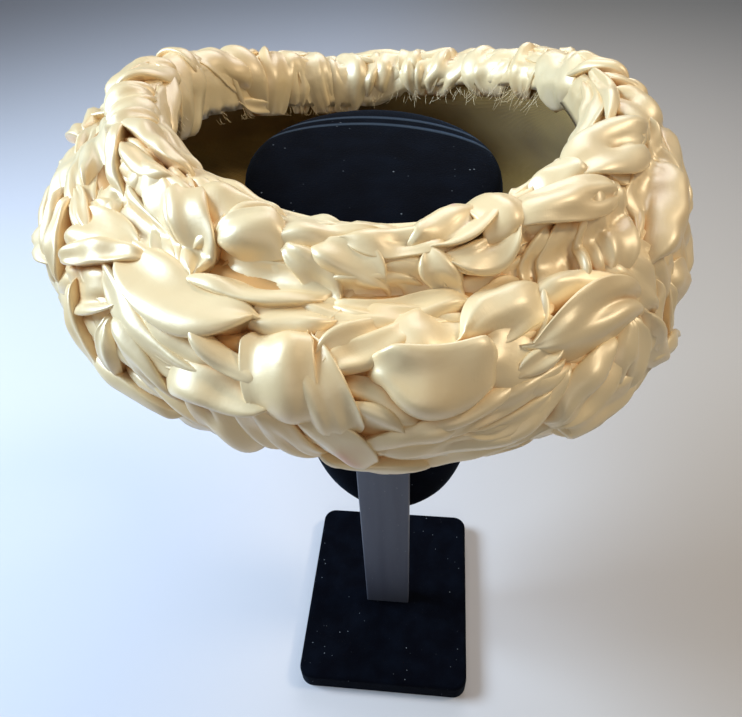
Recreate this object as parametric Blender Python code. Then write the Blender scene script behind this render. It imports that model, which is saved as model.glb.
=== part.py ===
"""Crownless ring hat of plaited satin, sitting on a velvet neck bust with a post and base.

Built in metres, +Z up, with the origin at the middle of the base's underside.
The hat has its own two coordinates. A bearing, in degrees, runs round it from the front
and grows to the viewer's right. A drop is millimetres of cloth down from the rim's crest,
and is negative on the inside of the rim.
"""
from collections import namedtuple
from math import cos, pi, radians, sin, sqrt

import bmesh
import bpy
import numpy as np

MM = 0.001
GAP = 0.3

# Stand: base, post and neck bust.
BASE_WIDTH = 115.0
BASE_DEPTH = 134.0
BASE_THICKNESS = 15.0
BASE_CORNER = 9.0
BASE_EDGE = 2.5
POST_WIDTH = 30.5
POST_THICKNESS = 10.0
POST_FRONT = -9.4
POST_TOP = 262.0
BUST_LEAN = 2.7
BUST_SIDES = 24

# One row for each level of the bust: its half width, and how far it reaches towards the
# viewer (near) and away (far) from the middle of the base. Roundness is 1 for an oval level
# and less for a squarer one.
Level = namedtuple("Level", "height half_width near far roundness", defaults=(0.85,))
BUST_LEVELS = [
    Level(123.0, 12.0, 7.0, 20.0),
    Level(125.0, 25.0, 1.0, 30.0),
    Level(134.0, 37.0, 1.0, 40.0),
    Level(150.0, 45.0, 1.0, 47.0),
    Level(172.0, 50.0, 1.0, 52.0),
    Level(205.0, 59.0, 1.0, 57.0),
    Level(240.0, 71.0, 1.0, 62.0),
    Level(263.0, 81.0, 1.0, 66.0),
    Level(279.0, 89.0, -22.0, 66.0),
    Level(295.0, 89.0, -36.0, 64.0),
    Level(305.0, 78.0, -44.0, 62.0),
    Level(317.0, 62.0, -50.0, 60.0),
    Level(332.0, 51.0, -52.0, 58.0, 1.0),
    Level(352.0, 50.0, -51.5, 58.0, 1.0),
    Level(357.0, 46.5, -47.0, 54.0, 1.0),
    Level(358.5, 37.0, -37.0, 44.0, 1.0),
]

# Hat: where it sits, how it leans, and its sizes at the front, right, back and left.
HAT_CENTRE = (-1.4, 2.8, 301.0)
HAT_TURN = 7.5
LEAN_BACK = 11.0
LEAN_RIGHT = 2.4
OVAL = 1.24
EDGE_RADIUS = 76.0
ROLL_MIDDLE = 85.5
ROLL_RADIUS = 13.5
LIP_DEPTH = 15.0
ROLL_POINTS = 37
Quarters = namedtuple("Quarters", "front right back left")
RIM_HEIGHT = Quarters(69.0, 91.0, 80.0, 90.0)
BELLY_HEIGHT = Quarters(31.0, 10.0, 22.0, 36.0)
BELLY_RADIUS = Quarters(120.0, 117.0, 120.0, 123.0)

# Depths below the hat's outer envelope.
BED_DEPTH = 5.0
TURNING_BED = 3.0
SEAM_DEPTH = 2.5
PLAIT_BACK = 8.5
TURNING_BACK = 4.5
FOUNDATION_WALL = 2.0
FOUNDATION_CLEAR = 1.0
LIP_CLEAR = 0.7
FOUNDATION_WAIST = 0.15
INNER_BELLY_SHARE = 0.8

# Rows of plait, from the rim down, by drop.
RIM_LINE = -9.0
UPPER_LINE = 29.0
MIDDLE_LINE = 59.0
LOWER_LINE = 92.0
TURNING_END = -28.0
UNDER_END = 130.0
ROW_COLUMNS = 88
ROW_STEPS = 8
ROW_KNEE = 4
TURNING_COLUMNS = 60
TURNING_STEPS = 4
TURNING_KNEE = 1
FOUNDATION_COLUMNS = 40
FOUNDATION_STEPS = 6
FOUNDATION_TURNS = 2

# A fold's taper towards its ends, the roundness of its puff and the squareness of its rise.
TAPER_POWER = 0.4
PUFF_POWER = 2.5
RISE_POWER = 4

# A fold runs from end a to end b. Width is across its middle, bow bends its middle to the
# left of that run, lift is how far its edges stand off the bed, crown is its puff, and
# end_a and end_b are the widths of its ends as a share of its width.
Fold = namedtuple("Fold", "bearing_a drop_a bearing_b drop_b width bow lift crown end_a end_b")

UPPER_FOLDS = [
    Fold(-21.0, -2.0, -8.0, 0.0, 9.0, 1.0, 2.5, 3.5, 0.5, 0.3),
    Fold(-18.5, 10.5, -2.0, 3.0, 9.0, 1.5, 3.5, 3.0, 1.0, 0.2),
    Fold(6.0, 3.0, -7.5, 8.5, 14.0, 0.0, 3.5, 2.5, 1.2, 0.1),
    Fold(5.0, 14.0, -4.0, 15.0, 8.0, -1.0, 2.0, 2.0, 0.8, 0.3),
    Fold(5.0, 8.0, 15.5, -4.0, 16.0, 0.0, 4.0, 5.0, 0.6, 0.9),
    Fold(18.0, -14.0, 17.3, 11.0, 10.0, 0.0, 5.5, 2.0, 1.0, 0.9),
    Fold(19.5, 9.0, 8.0, 15.0, 10.0, 4.0, 4.0, 3.5, 0.7, 0.4),
    Fold(19.8, 15.5, 7.0, 14.0, 4.5, 4.0, 4.0, 2.0, 0.6, 0.4),
    Fold(21.0, 20.0, 8.0, 23.0, 5.0, 3.0, 3.5, 2.5, 0.6, 0.4),
    Fold(6.0, 12.0, 9.0, 24.0, 8.0, -1.0, 4.0, 3.0, 0.5, 0.7),
    Fold(-2.5, 18.0, 8.0, 24.0, 8.0, 2.0, 3.0, 3.0, 0.4, 0.2),
    Fold(-10.0, 12.0, -1.5, 21.5, 8.5, 1.5, 4.0, 3.5, 0.7, 0.35),
    Fold(-15.5, 14.0, -7.0, 26.0, 6.5, 1.5, 3.5, 3.0, 0.5, 0.3),
    Fold(-7.5, 25.5, 10.0, 27.0, 5.0, -3.0, 3.0, 2.5, 0.6, 0.6),
    Fold(-29.5, 23.0, -8.0, 27.0, 10.5, 0.0, 4.5, 2.5, 0.6, 0.3),
    Fold(-28.0, 18.0, -17.0, 14.0, 11.0, 1.0, 3.5, 3.5, 0.2, 1.0),
    Fold(-26.0, 13.0, -20.0, 2.0, 9.0, 0.0, 2.5, 2.5, 0.4, 0.6),
    Fold(-33.5, 13.0, -23.5, 2.0, 11.0, 2.5, 3.5, 3.0, 0.15, 0.3),
    Fold(-39.0, -7.0, -21.0, -5.0, 9.0, 0.0, 2.5, 3.0, 0.5, 0.5),
    Fold(-28.0, 10.0, -30.5, 22.0, 8.0, 0.0, 3.0, 2.5, 0.6, 0.5),
    Fold(-39.0, 4.0, -34.5, 12.0, 8.0, 0.0, 2.0, 2.0, 0.9, 0.1),
    Fold(-41.0, 25.0, -34.0, 17.0, 5.0, 9.0, 5.0, 2.5, 0.8, 0.6),
    Fold(-37.5, 12.0, -35.0, 24.0, 7.0, 0.0, 2.5, 3.0, 0.8, 0.3),
    Fold(-42.0, 14.0, -30.0, 31.0, 6.0, -2.0, 3.0, 3.0, 0.5, 0.4),
    Fold(-48.5, 11.5, -41.0, 26.0, 9.0, 1.0, 4.0, 3.5, 0.6, 0.2),
    Fold(-57.0, 10.0, -46.0, 6.0, 9.0, 0.0, 1.0, 3.0, 0.6, 0.6),
    Fold(-61.0, 5.0, -41.0, -3.0, 11.0, 3.0, 4.0, 3.5, 0.5, 0.5),
    Fold(-54.0, 11.5, -40.5, 5.0, 6.0, -1.5, 4.0, 2.5, 0.3, 0.4),
    Fold(-62.0, 10.0, -50.0, 19.0, 7.0, -1.0, 3.5, 2.0, 0.6, 0.5),
    Fold(-74.0, 15.0, -76.0, -8.0, 13.0, 0.0, 3.5, 3.0, 0.6, 0.8),
    Fold(-65.0, 13.0, -66.0, -8.0, 14.0, 0.0, 4.0, 3.0, 0.5, 0.8),
    Fold(-86.0, 16.0, -97.0, -10.0, 26.0, 0.0, 4.0, 6.0, 0.6, 0.7),
    Fold(-88.0, 20.0, -74.0, 32.0, 13.0, 0.0, 2.5, 3.0, 0.5, 0.6),
    Fold(-74.0, 16.0, -60.0, 28.0, 9.0, 0.0, 4.0, 3.0, 0.6, 0.5),
    Fold(-70.0, 27.0, -53.0, 31.0, 11.0, -1.0, 3.5, 2.0, 0.6, 0.5),
    Fold(25.5, 14.0, 21.0, 29.0, 9.0, 0.0, 3.0, 2.5, 0.5, 0.6),
    Fold(20.0, 10.0, 21.5, 20.0, 6.0, 0.0, 3.0, 2.5, 0.5, 0.5),
    Fold(21.5, 5.0, 41.0, 16.0, 11.0, 1.0, 4.5, 3.0, 0.9, 0.5),
    Fold(21.5, 11.5, 30.0, 11.0, 8.0, -1.0, 2.5, 3.0, 0.4, 0.4),
    Fold(31.0, -9.0, 37.0, 3.0, 11.0, 0.0, 3.0, 2.5, 0.5, 0.6),
    Fold(38.0, -4.0, 59.0, 14.0, 20.0, 2.0, 4.5, 5.0, 0.7, 0.7),
    Fold(68.0, -7.0, 66.0, 19.0, 18.0, 0.0, 4.0, 5.0, 0.4, 0.9),
    Fold(99.0, -12.0, 87.0, 11.0, 18.0, 0.0, 4.0, 5.5, 0.6, 0.7),
    Fold(83.0, -4.0, 79.0, 13.0, 9.0, 0.0, 3.5, 3.0, 0.6, 0.6),
    Fold(80.0, 6.0, 75.0, 22.0, 10.0, 0.0, 3.0, 3.5, 0.6, 0.6),
    Fold(65.0, 14.0, 60.0, 30.0, 6.0, 0.0, 4.5, 2.5, 0.5, 0.5),
    Fold(71.0, 18.0, 63.0, 36.0, 10.0, 0.0, 3.0, 3.0, 0.6, 0.6),
    Fold(58.0, 21.0, 42.0, 37.0, 14.0, 0.0, 4.5, 4.0, 0.8, 0.5),
    Fold(31.0, 13.0, 24.0, 31.0, 10.0, 0.0, 3.0, 2.5, 0.5, 1.0),
    Fold(32.5, 12.0, 29.0, 31.0, 4.0, 0.0, 4.5, 3.0, 0.5, 0.8),
    Fold(36.0, 13.0, 32.5, 32.0, 12.0, 0.0, 4.0, 3.0, 0.9, 0.9),
]

MIDDLE_FOLDS = [
    Fold(-42.0, 34.0, -17.0, 35.5, 17.0, -2.0, 4.5, 4.0, 0.7, 0.2),
    Fold(-50.0, 48.0, -37.0, 32.0, 6.5, 1.0, 6.0, 2.5, 0.4, 0.7),
    Fold(-50.0, 53.0, -37.0, 45.0, 13.0, 0.0, 3.0, 1.5, 0.7, 0.6),
    Fold(-54.0, 42.0, -38.0, 28.5, 15.0, 1.5, 4.0, 4.5, 0.6, 0.15),
    Fold(-77.0, 32.0, -58.0, 45.0, 19.0, 0.0, 2.5, 3.5, 0.6, 0.7),
    Fold(-60.0, 34.0, -48.0, 36.0, 7.0, 0.0, 4.0, 2.5, 0.5, 0.3),
    Fold(-58.0, 37.0, -54.0, 58.0, 8.0, 0.0, 4.0, 3.5, 0.6, 0.6),
    Fold(-63.0, 39.0, -58.0, 62.0, 8.0, 0.0, 4.0, 4.0, 0.6, 0.6),
    Fold(-39.5, 45.0, -23.0, 57.0, 15.0, 1.0, 3.0, 3.5, 0.7, 0.3),
    Fold(-25.0, 46.0, -16.0, 53.0, 6.5, -1.0, 4.5, 3.5, 0.6, 0.8),
    Fold(-14.5, 37.5, -13.0, 58.0, 15.0, 0.0, 6.0, 1.0, 1.0, 0.85),
    Fold(-9.3, 37.0, -7.0, 63.0, 10.0, 0.0, 5.0, 3.0, 0.3, 1.0),
    Fold(-18.0, 36.0, -7.0, 30.5, 10.5, 1.0, 3.5, 3.5, 0.5, 0.15),
    Fold(-4.0, 29.5, -8.5, 42.0, 8.0, 0.0, 2.5, 1.5, 1.0, 0.7),
    Fold(-1.0, 31.0, -8.3, 43.5, 5.5, -1.0, 4.0, 3.5, 0.6, 0.6),
    Fold(2.0, 32.0, -7.5, 47.0, 7.5, 1.0, 4.0, 4.5, 0.7, 0.6),
    Fold(3.5, 30.0, -0.5, 41.0, 10.0, 0.0, 2.5, 2.0, 1.0, 0.6),
    Fold(-7.0, 52.0, 2.0, 59.0, 13.0, 0.0, 2.0, 2.5, 0.8, 0.5),
    Fold(5.3, 29.0, 5.8, 47.0, 17.0, 0.0, 4.0, 3.0, 0.75, 0.95),
    Fold(-1.0, 45.0, 10.3, 47.0, 13.0, -3.5, 5.5, 3.0, 0.7, 0.8),
    Fold(9.5, 42.0, 22.0, 50.0, 19.0, 0.0, 3.5, 3.0, 0.5, 0.7),
    Fold(8.5, 39.0, 20.0, 30.0, 14.0, 2.0, 4.5, 4.0, 0.2, 0.8),
    Fold(20.0, 33.0, 35.0, 42.0, 10.0, 1.0, 3.0, 3.0, 0.8, 0.5),
    Fold(17.0, 43.5, 36.0, 48.0, 14.0, 2.5, 5.0, 4.5, 0.15, 0.6),
    Fold(34.0, 27.0, 40.0, 52.0, 19.0, 0.0, 3.0, 3.0, 0.8, 0.3),
    Fold(45.0, 36.0, 46.0, 56.0, 14.0, 0.0, 2.5, 3.0, 0.7, 0.6),
    Fold(62.0, 28.0, 50.0, 43.0, 10.0, 0.0, 2.5, 2.5, 0.7, 0.6),
]

LOWER_FOLDS = [
    Fold(-36.0, 54.0, -27.0, 67.0, 10.0, 0.0, 4.0, 4.0, 0.8, 0.5),
    Fold(-38.0, 55.0, -37.3, 69.0, 6.0, 0.0, 4.0, 3.0, 0.5, 0.6),
    Fold(-47.0, 54.0, -39.0, 77.0, 7.0, -2.0, 4.0, 4.0, 0.6, 0.6),
    Fold(-43.0, 71.0, -30.0, 79.0, 9.0, 0.0, 4.0, 4.0, 0.6, 0.6),
    Fold(-27.3, 60.0, -14.5, 60.0, 9.0, 1.0, 5.0, 3.5, 1.0, 0.4),
    Fold(-30.0, 63.0, -19.0, 72.0, 8.0, 0.0, 2.5, 2.5, 0.6, 0.6),
    Fold(-23.5, 59.0, -17.0, 78.0, 13.0, 0.0, 3.0, 3.0, 0.7, 0.7),
    Fold(-17.8, 56.0, -13.0, 75.0, 9.0, 0.0, 3.0, 3.0, 0.5, 0.6),
    Fold(-16.3, 57.0, -9.0, 78.0, 7.0, 0.0, 4.0, 3.0, 0.5, 0.6),
    Fold(-11.0, 61.0, -3.5, 77.0, 15.0, 0.0, 3.5, 3.5, 0.6, 0.6),
    Fold(-5.0, 70.0, 8.0, 61.0, 9.0, 0.0, 3.0, 3.5, 0.4, 0.6),
    Fold(-2.0, 73.0, 17.0, 66.5, 15.0, -1.0, 2.5, 3.5, 0.6, 0.7),
    Fold(-8.0, 80.0, 4.0, 83.0, 12.0, -1.0, 4.5, 4.0, 0.5, 0.5),
    Fold(4.0, 63.0, 21.0, 51.5, 6.0, 1.0, 3.5, 3.0, 0.5, 0.5),
    Fold(11.5, 66.5, 21.5, 54.0, 10.0, 0.0, 3.0, 3.5, 0.6, 0.6),
    Fold(30.0, 54.5, 21.0, 67.0, 13.0, 0.0, 4.5, 4.0, 0.7, 0.5),
    Fold(34.0, 52.0, 33.0, 67.0, 12.0, 0.0, 4.5, 4.0, 0.7, 0.7),
    Fold(37.0, 66.0, 23.0, 75.0, 11.0, 0.0, 3.0, 4.0, 0.6, 0.6),
]

# Gathers of the satin turned over the rim, at the back of the opening.
TURNING_FOLDS = [
    Fold(-92.0, -8.0, -76.0, -24.0, 12.0, 0.0, 2.5, 2.5, 0.7, 0.7),
    Fold(-104.0, -6.0, -97.0, -32.0, 18.0, 0.0, 2.5, 3.0, 0.7, 0.8),
    Fold(-112.0, -14.0, -131.0, -24.0, 14.0, 0.0, 3.0, 3.0, 0.5, 0.6),
    Fold(-128.0, -5.0, -136.0, -36.0, 14.0, 0.0, 3.0, 3.0, 0.7, 0.7),
    Fold(-146.0, -6.0, -141.0, -38.0, 12.0, 0.0, 4.0, 3.0, 0.6, 0.8),
    Fold(-150.0, -8.0, -153.0, -36.0, 14.0, 0.0, 2.5, 3.0, 0.7, 0.7),
    Fold(-158.0, -6.0, -163.0, -35.0, 13.0, 0.0, 2.5, 3.0, 0.7, 0.8),
    Fold(-170.0, -6.0, -171.0, -33.0, 13.0, 0.0, 2.5, 3.0, 0.7, 0.8),
    Fold(171.0, -5.0, 172.0, -36.0, 14.0, 0.0, 2.5, 2.5, 0.8, 0.9),
    Fold(162.0, -2.0, 160.0, -32.0, 14.0, 0.0, 3.0, 3.0, 0.6, 0.8),
    Fold(149.0, -4.0, 154.0, -32.0, 12.0, 0.0, 2.5, 3.0, 0.6, 0.8),
    Fold(134.0, -4.0, 134.0, -32.0, 20.0, 0.0, 2.5, 2.5, 0.8, 0.9),
    Fold(120.0, -4.0, 119.0, -30.0, 14.0, 0.0, 2.5, 3.0, 0.7, 0.8),
    Fold(105.0, -3.0, 100.0, -30.0, 20.0, 0.0, 2.5, 3.0, 0.7, 0.8),
    Fold(86.0, -12.0, 50.0, -14.0, 13.0, 0.0, 2.5, 4.0, 0.5, 0.5),
    Fold(47.0, -18.0, 28.0, -13.0, 8.0, 0.0, 2.0, 3.0, 0.6, 0.6),
]

# Stretches that the reference view doesn't show are an even plait: the bearings it runs
# between, the degrees from fold to fold, and its middle, half depth and fold width.
Stretch = namedtuple("Stretch", "first last pitch middle reach width")
PLAIN_STRETCHES = {
    "upper": [Stretch(-178.0, -92.0, 7.0, 12.0, 17.0, 15.0), Stretch(100.0, 182.0, 7.0, 12.0, 17.0, 15.0)],
    "middle": [Stretch(-182.0, -72.0, 7.0, 44.0, 14.0, 14.0), Stretch(56.0, 178.0, 7.0, 44.0, 14.0, 14.0)],
    "lower": [Stretch(-182.0, -50.0, 7.0, 76.0, 15.0, 15.0), Stretch(38.0, 178.0, 7.0, 76.0, 15.0, 15.0)],
    "under": [Stretch(-180.0, 180.0, 9.0, 110.0, 16.0, 16.0)],
}
PLAIN_LIFT = 3.0
PLAIN_CROWN = 3.5


def clear_scene():
    for thing in list(bpy.data.objects):
        bpy.data.objects.remove(thing, do_unlink=True)


def material(name, colour, roughness, sheen=0.0):
    """A plain Principled material, used for the sub-parts of one cloth or board."""
    made = bpy.data.materials.new(name)
    made.use_nodes = True
    shader = made.node_tree.nodes["Principled BSDF"]
    shader.inputs["Base Color"].default_value = (*colour, 1.0)
    shader.inputs["Roughness"].default_value = roughness
    shader.inputs["Metallic"].default_value = 0.0
    shader.inputs["Sheen Weight"].default_value = sheen
    return made


def add_object(name, points, faces, finish, smooth_angle):
    """One closed sub-part from points in millimetres and its faces."""
    mesh = bpy.data.meshes.new(name)
    mesh.from_pydata([[MM * value for value in point] for point in points], [], faces)
    mesh.materials.append(finish)
    shape = bmesh.new()
    shape.from_mesh(mesh)
    bmesh.ops.recalc_face_normals(shape, faces=shape.faces)
    shape.to_mesh(mesh)
    shape.free()
    mesh.shade_smooth()
    mesh.set_sharp_from_angle(angle=radians(smooth_angle))
    thing = bpy.data.objects.new(name, mesh)
    bpy.context.collection.objects.link(thing)
    return thing


def round_the_hat(sizes, bearing):
    """A size given at the four quarters, blended smoothly at a bearing in radians."""
    mean = (sizes.front + sizes.right + sizes.back + sizes.left) / 4
    fore = (sizes.front - sizes.back) / 2
    side = (sizes.right - sizes.left) / 2
    saddle = (sizes.front + sizes.back - sizes.right - sizes.left) / 4
    return mean + fore * cos(bearing) + side * sin(bearing) + saddle * cos(2 * bearing)


def hat_axes():
    """The hat's own right, away and up directions, in the part's frame."""
    up = np.array([sin(radians(LEAN_RIGHT)), sin(radians(LEAN_BACK)), 0.0])
    up[2] = sqrt(1.0 - up @ up)
    right = np.array([1.0, 0.0, 0.0]) - up * up[0]
    right /= np.linalg.norm(right)
    away = np.cross(up, right)
    turn = radians(HAT_TURN)
    spin = np.array([[cos(turn), -sin(turn), 0], [sin(turn), cos(turn), 0], [0, 0, 1]])
    return spin @ right, spin @ away, spin @ up


HAT_RIGHT, HAT_AWAY, HAT_UP = hat_axes()


def place(bearing, radius, height):
    """A point of the hat from a bearing in radians, and its own radius and height."""
    side = radius * sin(bearing)
    fore = -radius * cos(bearing) * OVAL
    return np.array(HAT_CENTRE) + side * HAT_RIGHT + fore * HAT_AWAY + height * HAT_UP


def wall_sections(bearing):
    """Radius and height down the hat's envelope and down the back of its cloth.

    Both run from the inner lip to the bottom edge, point for point.
    """
    belly = round_the_hat(BELLY_HEIGHT, bearing)
    reach = round_the_hat(BELLY_RADIUS, bearing)
    seat = round_the_hat(RIM_HEIGHT, bearing) - ROLL_RADIUS
    lip = ROLL_MIDDLE - ROLL_RADIUS
    shoulder = ROLL_MIDDLE + ROLL_RADIUS
    inner_belly = PLAIT_BACK + INNER_BELLY_SHARE * belly
    inner_reach = reach - PLAIT_BACK
    inner_shoulder = shoulder - PLAIT_BACK
    outer = [(lip, seat - LIP_DEPTH)]
    inner = [(lip + TURNING_BACK, seat - LIP_DEPTH)]
    for angle in np.linspace(pi, 0.0, ROLL_POINTS):
        depth = TURNING_BACK + (PLAIT_BACK - TURNING_BACK) * min(1.0, 2 * (1 - angle / pi))
        outer.append((ROLL_MIDDLE + ROLL_RADIUS * cos(angle), seat + ROLL_RADIUS * sin(angle)))
        core = ROLL_RADIUS - depth
        inner.append((ROLL_MIDDLE + core * cos(angle), seat + core * sin(angle)))
    for angle in np.linspace(pi / 2, 0.0, ROLL_POINTS)[1:]:
        out, up = 1 - cos(angle), sin(angle)
        outer.append((reach - (reach - shoulder) * out, belly + (seat - belly) * up))
        inner.append((inner_reach - (inner_reach - inner_shoulder) * out,
                      inner_belly + (seat - inner_belly) * up))
    for angle in np.linspace(pi / 2, 0.0, ROLL_POINTS)[1:]:
        out, up = sin(angle), 1 - cos(angle)
        outer.append((EDGE_RADIUS + (reach - EDGE_RADIUS) * out, belly * up))
        inner.append((EDGE_RADIUS + (inner_reach - EDGE_RADIUS) * out,
                      PLAIT_BACK + (inner_belly - PLAIT_BACK) * up))
    return outer, inner


class Wall:
    """The hat's outer envelope as a sheet that is read by bearing, drop and height off it."""

    FIRST_DROP = -38.0
    LAST_DROP = 145.0

    def __init__(self):
        drops = np.arange(self.FIRST_DROP, self.LAST_DROP + 1.0)
        sheet = []
        back = []
        for bearing in np.radians(np.arange(-180.0, 181.0)):
            outer, inner = wall_sections(bearing)
            points = np.array([place(bearing, radius, height) for radius, height in outer])
            steps = np.linalg.norm(np.diff(points, axis=0), axis=1)
            run = np.concatenate([[0.0], np.cumsum(steps)])
            run -= run[1 + ROLL_POINTS // 2]
            sheet.append(self.along(drops, run, points))
            points = np.array([place(bearing, radius, height) for radius, height in inner])
            back.append(self.along(drops, run, points))
        self.sheet = np.array(sheet)
        self.back = np.array(back)
        normals = np.cross(np.gradient(self.sheet, axis=1), np.gradient(self.sheet, axis=0))
        self.normals = normals / np.linalg.norm(normals, axis=2, keepdims=True)

    @staticmethod
    def along(drops, run, points):
        """Points at even drops along a run, carried straight on past both of its ends."""
        column = np.array([np.interp(drops, run, points[:, axis]) for axis in range(3)]).T
        start = (points[1] - points[0]) / (run[1] - run[0])
        end = (points[-1] - points[-3]) / (run[-1] - run[-3])
        column += np.minimum(drops - run[0], 0.0)[:, None] * start
        column += np.maximum(drops - run[-1], 0.0)[:, None] * end
        return column

    def read(self, table, bearing, drop):
        column = (np.asarray(bearing, float) + 180.0) % 360.0
        row = np.clip(np.asarray(drop, float) - self.FIRST_DROP, 0.0, table.shape[1] - 1.001)
        left = np.floor(column).astype(int)
        top = np.floor(row).astype(int)
        across = (column - left)[..., None]
        down = (row - top)[..., None]
        upper = table[left, top] * (1 - across) + table[left + 1, top] * across
        lower = table[left, top + 1] * (1 - across) + table[left + 1, top + 1] * across
        return upper * (1 - down) + lower * down

    def point(self, bearing, drop, height):
        off = np.asarray(height, float)[..., None]
        return self.read(self.sheet, bearing, drop) + self.read(self.normals, bearing, drop) * off

    def per_degree(self, bearing, drop):
        """Millimetres along the wall for one degree of bearing."""
        ahead = self.read(self.sheet, bearing + 1.0, drop)
        behind = self.read(self.sheet, bearing - 1.0, drop)
        return float(np.linalg.norm(ahead - behind)) / 2


def plain_plait(stretch):
    """Folds of an even plait: slanting lobes from above and below, by turns."""
    folds = []
    count = int((stretch.last - stretch.first) / stretch.pitch)
    for index in range(count):
        start = stretch.first + index * stretch.pitch
        side = 1.0 if index % 2 else -1.0
        folds.append(Fold(start, stretch.middle + side * stretch.reach,
                          start + 2.0 * stretch.pitch, stretch.middle - side * 2.0,
                          stretch.width, -side * 1.5, PLAIN_LIFT, PLAIN_CROWN, 0.6, 0.5))
    return folds


def fold_height(fold, wall, bearing, drop):
    """Height of one fold above the bed, and zero where the fold isn't."""
    scale = wall.per_degree((fold.bearing_a + fold.bearing_b) / 2, (fold.drop_a + fold.drop_b) / 2)
    x = ((bearing - fold.bearing_a + 180.0) % 360.0 - 180.0) * scale
    y = fold.drop_a - drop
    run_x = (fold.bearing_b - fold.bearing_a) * scale
    run_y = fold.drop_a - fold.drop_b
    length = sqrt(run_x ** 2 + run_y ** 2)
    along = (x * run_x + y * run_y) / length ** 2
    middle = np.clip(4 * along * (1 - along), 0.0, 1.0)
    side = (y * run_x - x * run_y) / length - fold.bow * middle
    end = np.where(along < 0.5, fold.end_a, fold.end_b)
    half = fold.width / 2 * (end + (1 - end) * middle ** TAPER_POWER)
    across = np.clip(1 - np.abs(side / half) ** PUFF_POWER, 0.0, 1.0)
    rise = np.clip(1 - np.abs(2 * along - 1) ** RISE_POWER, 0.0, 1.0) ** 0.5
    height = (fold.lift + fold.crown * across ** 0.5) * rise
    inside = (along > 0) & (along < 1) & (across > 0)
    return np.where(inside, height, 0.0)


def relief(folds, wall, bearing, drop):
    """Height of the folded cloth below or above the hat's outer envelope."""
    height = np.zeros_like(bearing)
    for fold in folds:
        height = np.maximum(height, fold_height(fold, wall, bearing, drop))
    return height - BED_DEPTH


def ring_faces(columns, loop):
    """Faces of a ring whose section is a closed loop of so many points."""
    faces = []
    for column in range(columns):
        ahead = (column + 1) % columns
        for index in range(loop):
            following = (index + 1) % loop
            faces.append((column * loop + index, ahead * loop + index,
                          ahead * loop + following, column * loop + following))
    return faces


def folded_ring(name, wall, folds, columns, steps, top, bottom, bed, knee, finish):
    """A band of folded cloth right round the hat, its relief outside, its back bent at a knee."""
    bearings = np.linspace(-180.0, 180.0, columns, endpoint=False)
    drops = np.linspace(top + GAP / 2, bottom - GAP / 2, steps + 1)
    bearing, drop = np.meshgrid(bearings, drops, indexing="ij")
    height = np.maximum(relief(folds, wall, bearing, drop), -bed)
    height[:, 0] = -SEAM_DEPTH
    height[:, -1] = -SEAM_DEPTH
    outside = wall.point(bearing, drop, height)
    inner_drops = drops[[steps, knee, 0]]
    bearing, drop = np.meshgrid(bearings, inner_drops, indexing="ij")
    inside = wall.read(wall.back, bearing, drop)
    points = np.concatenate([outside, inside], axis=1)
    return add_object(name, points.reshape(-1, 3), ring_faces(columns, points.shape[1]), finish, 50.0)


def foundation(finish):
    """The stiff cloth ring that carries the plaits, in two bands joined at its widest."""
    lip = ROLL_MIDDLE - ROLL_RADIUS + TURNING_BACK + LIP_CLEAR + FOUNDATION_WALL / 2
    clear = PLAIT_BACK + FOUNDATION_CLEAR + FOUNDATION_WALL / 2
    upper = []
    lower = []
    for bearing in np.linspace(-pi, pi, FOUNDATION_COLUMNS, endpoint=False):
        belly = round_the_hat(BELLY_HEIGHT, bearing)
        top = round_the_hat(RIM_HEIGHT, bearing) - ROLL_RADIUS - 1.0
        waist = belly + FOUNDATION_WAIST * (top - belly)
        widest = round_the_hat(BELLY_RADIUS, bearing) - clear - 1.0
        narrow = EDGE_RADIUS + 1.0
        middle = []
        for share in np.linspace(0.0, 1.0, FOUNDATION_STEPS + 1):
            flare = share ** 2 * (3 - 2 * share)
            middle.append((lip + (widest - lip) * flare, top - (top - waist - GAP) * share))
        upper.append(band_section(bearing, middle, -1))
        middle = []
        for angle in np.linspace(pi / 2, 0.0, FOUNDATION_TURNS + 1):
            middle.append((narrow + (widest - narrow) * sin(angle),
                           clear + (waist - clear) * (1 - cos(angle))))
        lower.append(band_section(bearing, middle, 0))
    for name, columns in (("foundation_upper", upper), ("foundation_lower", lower)):
        points = np.array(columns)
        faces = ring_faces(FOUNDATION_COLUMNS, points.shape[1])
        add_object(name, points.reshape(-1, 3), faces, finish, 60.0)


def band_section(bearing, middle, seam):
    """The closed section of a band of foundation cloth, cut level where it meets the other."""
    middle = np.array(middle)
    run = np.gradient(middle, axis=0)
    run /= np.linalg.norm(run, axis=1, keepdims=True)
    run[seam] = (0.0, -1.0)
    across = np.column_stack([-run[:, 1], run[:, 0]]) * FOUNDATION_WALL / 2
    section = np.concatenate([middle + across, (middle - across)[::-1]])
    return [place(bearing, radius, height) for radius, height in section]


def neck_bust(finish):
    """A plain lofted bust: flat towards the post, round at the shoulders and neck."""
    lean = np.tan(radians(BUST_LEAN))
    points = []
    for level in BUST_LEVELS:
        middle = (level.near + level.far) / 2
        depth = (level.far - level.near) / 2
        for index in range(BUST_SIDES):
            angle = 2 * pi * index / BUST_SIDES
            x = level.half_width * abs(cos(angle)) ** level.roundness * (1 if cos(angle) >= 0 else -1)
            y = middle + depth * abs(sin(angle)) ** level.roundness * (1 if sin(angle) >= 0 else -1)
            points.append((x, y, level.height - x * lean))
    faces = [tuple(reversed(range(BUST_SIDES)))]
    for row in range(len(BUST_LEVELS) - 1):
        for index in range(BUST_SIDES):
            following = (index + 1) % BUST_SIDES
            low = row * BUST_SIDES
            high = low + BUST_SIDES
            faces.append((low + index, low + following, high + following, high + index))
    top = (len(BUST_LEVELS) - 1) * BUST_SIDES
    faces.append(tuple(range(top, top + BUST_SIDES)))
    return add_object("neck_bust", points, faces, finish, 60.0)


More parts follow.
